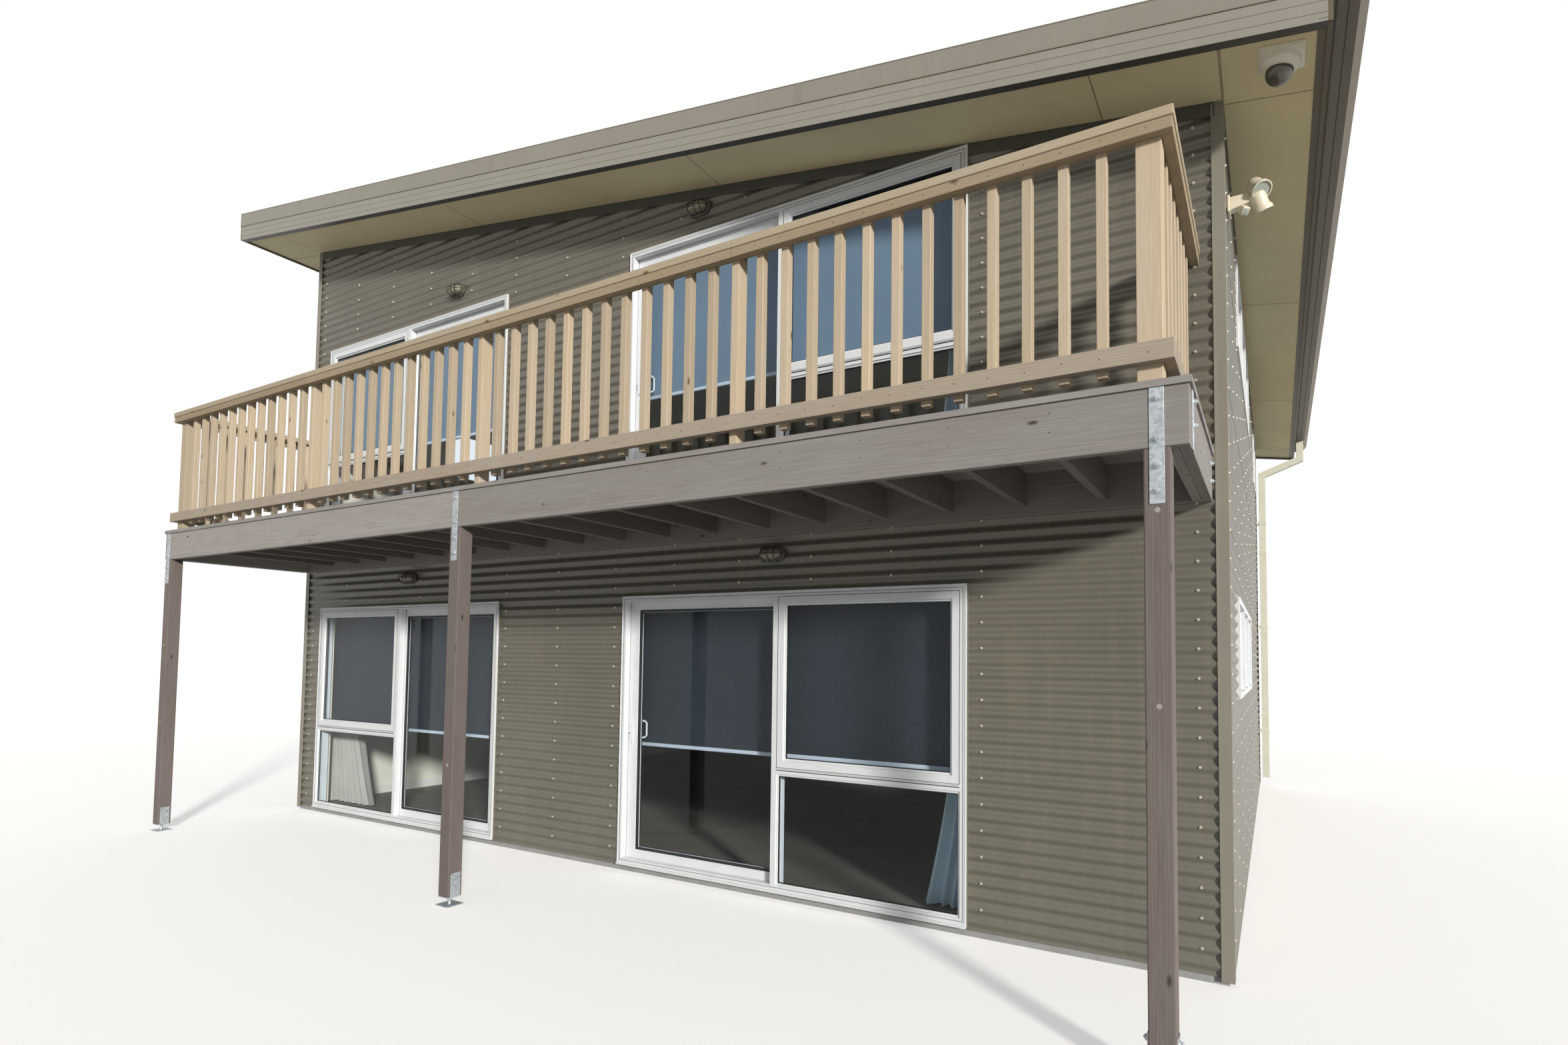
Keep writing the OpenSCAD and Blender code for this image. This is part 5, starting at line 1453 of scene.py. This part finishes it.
def makeSoffitJointers():
    # jointers where the real soffit has joints, darker than the soffit to paint the joints' shadow lines, and
    # painted strips over the joints of the CAD's own boards
    mesh, covers = bmesh.new(), bmesh.new()
    low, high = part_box("soffit_lining")
    boards = solidBoxes("soffit_lining")
    cover = (covers, sheetLines["coverWide"] / 2, sheetLines["coverProud"], 0.1 * mm, 0.0)
    jointer = (mesh, sheetLines["jointerWide"] / 2, sheetLines["jointerProud"], 0.2 * mm, 0.3 * mm)
    seamsX = sorted({round(b[0].x, 3) for b in boards} - {round(low.x, 3)})
    seamsY = sorted({round(b[0].y, 3) for b in boards} - {round(low.y, 3)})
    eaveJointers = stepping(frontY + 40 * mm, high.y, sheetLines["jointerEvery"])
    for (target, half, proud, top, ease), alongX, alongY in (
            (jointer, sheetLines["frontJointers"], eaveJointers), (cover, seamsX, seamsY)):
        for x in alongX:
            for y0, y1 in ((low.y, frontY), (rearY, high.y)):
                slopeBlock(target, (x - half, y0, -proud), (x + half, y1, top), ease)
        for y in alongY:
            for x0, x1 in ((low.x, wallLeft), (wallRight, high.x)):
                slopeBlock(target, (x0, y - half, -proud), (x1, y + half, top), ease)
    addPiece("soffit_jointers", mesh, jointerShadowPaint)
    addPiece("soffit_cover_strips", covers, soffitPaintAndLight)


makeCornerHems()
makeStripLaps()
makeBargeLines()
makeSoffitJointers()


rainwater = {
    "return": 57 * mm,       # the fascia's lower return, from the gutter's back
    "lipWide": 8 * mm,
    "faceLines": (34 * mm, 46 * mm),     # below the gutter's top
    # the gaps are black strips that paint the shade of gaps
    "gaps": (12 * mm, 62 * mm),          # shadow gaps from the gutter's back
    "strapEvery": 0.9,
    "jointEvery": 2.9,
    "pipe": 80 * mm,         # the pipe's side
    "pipeOff": 33 * mm,      # from the right wall's crests
    "pipeIn": 158 * mm,      # from the rear wall's crests to the pipe's front
    "sockets": (0.9, 2.0, 3.1),
    "socketProud": 3 * mm,
    "socketLong": 60 * mm,
}


def makeRainwater():
    mesh, pipe, lip, gaps = bmesh.new(), bmesh.new(), bmesh.new(), bmesh.new()
    low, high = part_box("gutter")
    face = high.x - rainwater["lipWide"]
    # the gutter's rolled lip in the paler capping steel: a painted highlight along the lip
    addBlock(lip, (face - 0.5 * mm, low.y, high.z - 10 * mm),
             (high.x + 0.6 * mm, high.y, high.z + 0.6 * mm), 2 * mm)
    for drop in rainwater["faceLines"]:
        addBlock(mesh, (face - 1 * mm, low.y, high.z - drop),
                 (face + 1.5 * mm, high.y, high.z - drop + 3 * mm), 0.7 * mm)
    # black strips that paint the shade of a gap between fascia and gutter, and a fold line along the gutter's
    # sole
    for start in rainwater["gaps"]:
        addBlock(gaps, (low.x + start, low.y, low.z - 0.6 * mm),
                 (low.x + start + 5 * mm, high.y, low.z + 2 * mm))
    addBlock(mesh, (low.x + 20 * mm, low.y, low.z - 2.5 * mm), (low.x + 42 * mm, high.y, low.z + 1 * mm),
             1 * mm)
    # the fascia's lower return covers the soffit's edge
    slopeBlock(mesh, (low.x - rainwater["return"], low.y, -3 * mm), (low.x - 19 * mm, high.y, 0.2 * mm),
               0.5 * mm)
    for y in stepping(low.y + 0.5, high.y - 0.3, rainwater["strapEvery"]):
        addBlock(mesh, (low.x + 4 * mm, y, high.z - 9 * mm), (face, y + 20 * mm, high.z - 6 * mm), 0.8 * mm)
    for y in (low.y + rainwater["jointEvery"], low.y + 2 * rainwater["jointEvery"]):
        addBlock(mesh, (face - 1 * mm, y, high.z - 66 * mm), (face + 2.2 * mm, y + 45 * mm, high.z - 2 * mm),
                 0.6 * mm)
    addPiece("gutter_details", mesh, gutterSteelAndShade)
    addPiece("gutter_lip_painted_highlight", lip, capSteel)
    addPiece("gutter_shadow_gaps", gaps, rubberAndShadeBlack)
    x, y, proud = wallRight + rainwater["pipeOff"], rearY - rainwater["pipeIn"], rainwater["socketProud"]
    far = rainwater["pipe"] + proud
    for z in rainwater["sockets"]:
        addBlock(pipe, (x - proud, y - proud, z), (x + far, y + far, z + rainwater["socketLong"]), 4 * mm)
    addPiece("pipe_sockets", pipe, creamPipe)


makeRainwater()
print("flashings and rainwater goods made")


# Fittings
def stadium(mesh, wide, high, y0, y1, ease, place):
    # a solid with half-round ends that faces the front, standing from depth y0 to y1
    own = bmesh.new()
    bmesh.ops.create_circle(own, cap_ends=True, segments=48, radius=high / 2)
    for vert in own.verts:
        vert.co.x += math.copysign((wide - high) / 2, vert.co.x) if abs(vert.co.x) > 1e-6 else 0
    thicken(own, (0, 0, y0 - y1))
    easeEdges(own, ease, 3, 60)
    turn = (Matrix.Translation((0, y1, 0)) @ Matrix.Rotation(math.radians(90), 4, "X")
            @ Matrix.Scale(-1, 4, (0, 0, 1)))
    bmesh.ops.transform(own, matrix=turn, verts=own.verts)
    bmesh.ops.recalc_face_normals(own, faces=own.faces)
    bmesh.ops.translate(own, vec=place, verts=own.verts)
    pour(own, mesh)


lamp = {
    "wide": 210 * mm,
    "high": 120 * mm,
    "deep": 86 * mm,
    "wire": 2.6 * mm,
    "hoops": (-52 * mm, 0, 52 * mm),
    "ribs": 26,
}


def addHoop(mesh, radius, reach, axis, place):
    # half a ring of round wire that stands on the wall, bulging forward
    own = bmesh.new()
    start = Vector((0, 0, radius)) if axis == "X" else Vector((radius, 0, 0))
    turn = Matrix.Translation(start) @ Matrix.Rotation(math.radians(90), 4, "X")
    bmesh.ops.create_circle(own, cap_ends=True, segments=10, radius=lamp["wire"], matrix=turn)
    spinAxis = (1, 0, 0) if axis == "X" else (0, 0, 1)
    bmesh.ops.spin(own, geom=own.verts[:] + own.edges[:] + own.faces[:], cent=(0, 0, 0), axis=spinAxis,
                   dvec=(0, 0, 0), angle=math.pi, steps=28, use_merge=False, use_duplicate=False)
    if sum(v.co.y for v in own.verts) > 0:
        bmesh.ops.scale(own, vec=(1, -1, 1), verts=own.verts)
    bmesh.ops.scale(own, vec=(1, reach / radius, 1), verts=own.verts)
    bmesh.ops.recalc_face_normals(own, faces=own.faces)
    bmesh.ops.translate(own, vec=place, verts=own.verts)
    pour(own, mesh)


def makeBulkheadLights():
    bodies, lenses, cages = bmesh.new(), bmesh.new(), bmesh.new()
    for low, high in solidBoxes("bulkhead_lights"):
        place = Vector(((low.x + high.x) / 2, frontY, (low.z + high.z) / 2))
        stadium(bodies, lamp["wide"], lamp["high"], -18 * mm, 0, 5 * mm, place)
        stadium(bodies, lamp["wide"] - 30 * mm, lamp["high"] - 28 * mm, -34 * mm, -16 * mm, 4 * mm, place)
        own = bmesh.new()
        bmesh.ops.create_uvsphere(own, u_segments=lamp["ribs"] * 4, v_segments=20, radius=0.5,
                                  matrix=Matrix.Rotation(math.radians(90), 4, "Y"))
        for vert in own.verts:
            turn = math.atan2(vert.co.y, vert.co.z)
            swell = 1 + 0.012 * math.cos(turn * lamp["ribs"])
            vert.co = (vert.co.x * (lamp["wide"] - 46 * mm), vert.co.y * 84 * mm * swell,
                       vert.co.z * (lamp["high"] - 42 * mm) * swell)
        cutAt(own, (0, 0.5 * mm, 0), (0, 1, 0), True)
        bmesh.ops.translate(own, vec=place + Vector((0, -32 * mm, 0)), verts=own.verts)
        pour(own, lenses)
        reach = lamp["deep"] - lamp["wire"]
        for x in lamp["hoops"]:
            addHoop(cages, lamp["high"] / 2 - 7 * mm, reach, "X", place + Vector((x, 0, 0)))
        addHoop(cages, lamp["wide"] / 2 - 9 * mm, reach - 0.4 * mm, "Z", place)
        for x in (-86 * mm, 86 * mm):
            stamp(bodies, rivetHead, facing((0, -1, 0), place + Vector((x, -18 * mm, 0))))
    addPiece("bulkhead_bodies", bodies, castGrey, stands=["bulkhead_lights"], smooth=35)
    addPiece("bulkhead_lenses", lenses, lensGlass, stands=["bulkhead_lights"], smooth=60)
    addPiece("bulkhead_cages", cages, cageWire, stands=["bulkhead_lights"], smooth=60)


spot = {
    # lens centres from the wall plate's middle, in millimetres, and where they look
    "lamps": (((168, -30, 34), (0.42, -0.55, -0.72)), ((170, 30, -50), (0.30, 0.36, -0.86))),
    # radius and height
    "bell": ((0, 0), (24, 1), (35, 5), (41, 13), (43, 26), (44, 82), (48, 84), (48, 89), (52, 90),
             (54, 93), (54, 109), (51, 112), (48, 112), (47, 104)),
    "pane": ((0, 104), (16, 106), (33, 105.5), (47, 104), (47, 101), (0, 101)),
    "knuckle": ((0, -15), (9, -13), (13, -8), (15, 0), (13, 8), (9, 13), (0, 15)),
    "arm": 112,
}


def turned(profile, steps=40):
    # a profile of radius and height, in millimetres, turned about Z
    own = bmesh.new()
    verts = [own.verts.new((r * mm, 0, z * mm)) for r, z in profile]
    edges = [own.edges.new(pair) for pair in zip(verts, verts[1:])]
    bmesh.ops.spin(own, geom=verts + edges, cent=(0, 0, 0), axis=(0, 0, 1), dvec=(0, 0, 0), angle=math.tau,
                   steps=steps, use_merge=True, use_duplicate=False)
    bmesh.ops.remove_doubles(own, verts=own.verts, dist=0.02 * mm)
    bmesh.ops.recalc_face_normals(own, faces=own.faces)
    return asTemplate(own, "turned")


def makeFloodlight():
    body, glass = bmesh.new(), bmesh.new()
    base = Vector((wallRight, frontY + 0.340, soffitHeight(wallRight) - 0.407))
    addBlock(body, base + Vector((0, -45, -47)) * mm, base + Vector((16, 45, 47)) * mm, 5 * mm, 3)
    arm = addBlock(body, base + Vector((14, -32, -42)) * mm, base + Vector((spot["arm"], 32, 42)) * mm,
                   9 * mm, 3)
    for vert in arm:
        reach = (vert.co.x - base.x) / (spot["arm"] * mm)
        vert.co.z = base.z + (vert.co.z - base.z) * (1 - 0.4 * reach) + 18 * mm * reach
        vert.co.y = base.y + (vert.co.y - base.y) * (1 - 0.35 * reach)
    bell, pane, knuckle = turned(spot["bell"]), turned(spot["pane"]), turned(spot["knuckle"], 24)
    for k, (lens, aim) in enumerate(spot["lamps"]):
        ahead = Vector(aim).normalized()
        place = base + Vector(lens) * mm - ahead * 104 * mm
        head = facing(ahead, place)
        stamp(body, bell, head)
        stamp(glass, pane, head)
        start = Vector((spot["arm"] - 8, -8 + 16 * k, 28 - 12 * k))
        hub = (place + ahead * 30 * mm - base) / mm
        tubeAlong(body, (start, (start + hub) / 2 + Vector((0, 0, 5 - 10 * k)), hub), 10 * mm, 8 * mm,
                  Matrix.Translation(base), 16)
        stamp(body, knuckle, facing(hub - start, base + start * mm))
    sensor = bmesh.new()
    addBlock(sensor, (-22 * mm, -22 * mm, 0), (22 * mm, 22 * mm, 40 * mm), 6 * mm, 3)
    box = asTemplate(sensor, "sensor")
    look = Vector((0.45, -0.55, -0.7)).normalized()
    eyeAt = base + Vector((91, -40, -70)) * mm
    stamp(body, box, facing(look, eyeAt - look * 40 * mm))
    window = bmesh.new()
    addBlock(window, (-16 * mm, -16 * mm, 38 * mm), (16 * mm, 16 * mm, 41.5 * mm), 1.5 * mm)
    stamp(glass, asTemplate(window, "window"), facing(look, eyeAt - look * 40 * mm))
    stamp(body, knuckle, facing(look, eyeAt - look * 50 * mm))
    addPiece("spot_lamp_bodies", body, creamPlastic, stands=["floodlight"], smooth=35)
    addPiece("spot_lamp_glass", glass, frostGlass, stands=["floodlight"], smooth=35)


dome = {
    "out": 264 * mm,         # from the right wall
    "front": 266 * mm,       # from the front's crests
    "plate": 196 * mm,
    # radius and height in millimetres, from the soffit
    "drum": ((0, -14), (86, -14), (86, -42), (84, -47), (69, -67), (66, -70),
             (63, -71), (60, -71), (60, -64)),
    "bubble": (60, -76),     # radius and the height of its middle
}


def makeDomeCamera():
    body, bubble = bmesh.new(), bmesh.new()
    half = dome["plate"] / 2
    addBlock(body, (-half, -half, -8 * mm), (half, half, 0), 3 * mm, 2)
    step, screw = half - 7 * mm, half - 20 * mm
    addBlock(body, (-step, -step, -14 * mm), (step, step, -6 * mm), 4 * mm, 2)
    for x in (-screw, screw):
        for y in (-screw, screw):
            stamp(body, rivetHead, facing((0, 0, -1), (x, y, -14 * mm)))
    stamp(body, turned(dome["drum"], 48), Matrix())
    radius, foot = dome["bubble"]
    curve = [(radius * math.cos(math.radians(a)), foot - radius * math.sin(math.radians(a)))
             for a in range(0, 90, 6)]
    stamp(bubble, turned([dome["drum"][-1]] + curve + [(0, foot - radius)], 48), Matrix())
    middle = wallRight + dome["out"]
    place = (Matrix.Translation((middle, frontY - dome["front"], soffitHeight(middle) - 0.3 * mm))
             @ Matrix.Rotation(slopeAngle, 4, "Y"))
    for part in (body, bubble):
        bmesh.ops.transform(part, matrix=place, verts=part.verts)
    addPiece("dome_camera_body", body, domeShellLit, stands=["dome_camera"], smooth=35)
    addPiece("dome_camera_bubble", bubble, smokedDomeAndReflection, stands=["dome_camera"], smooth=60)


makeBulkheadLights()
makeFloodlight()
makeDomeCamera()
print("fittings made")


# Finishes of the CAD nodes that stay
stays = {
    castConcrete: ("floor_slab",),
    liningPaint: ("front_piers_lower", "front_band", "front_piers_upper", "front_gable", "left_wall",
                  "right_wall", "rear_wall", "ceiling"),
    loopCarpet: ("upper_floor",),
    soffitPaintAndLight: ("soffit_lining",),
    foldedSteel: ("corner_flashings",),
    gutterSteelAndShade: ("gutter", "fascia_boards"),
    boardSteel: ("barge_boards",),
    capSteel: ("barge_capping",),
    paneGlass: ("main_panes", "side_panes", "upper_panes", "main_leaf_glass", "side_leaf_glass",
                "wall_window_glass"),
    rawPine: ("rafters",),
}
for finish, names in stays.items():
    for name in names:
        cadNodes[name].data.materials.clear()
        cadNodes[name].data.materials.append(finish)
print("finishes set")

setCamera()
setLight()
setFloor()
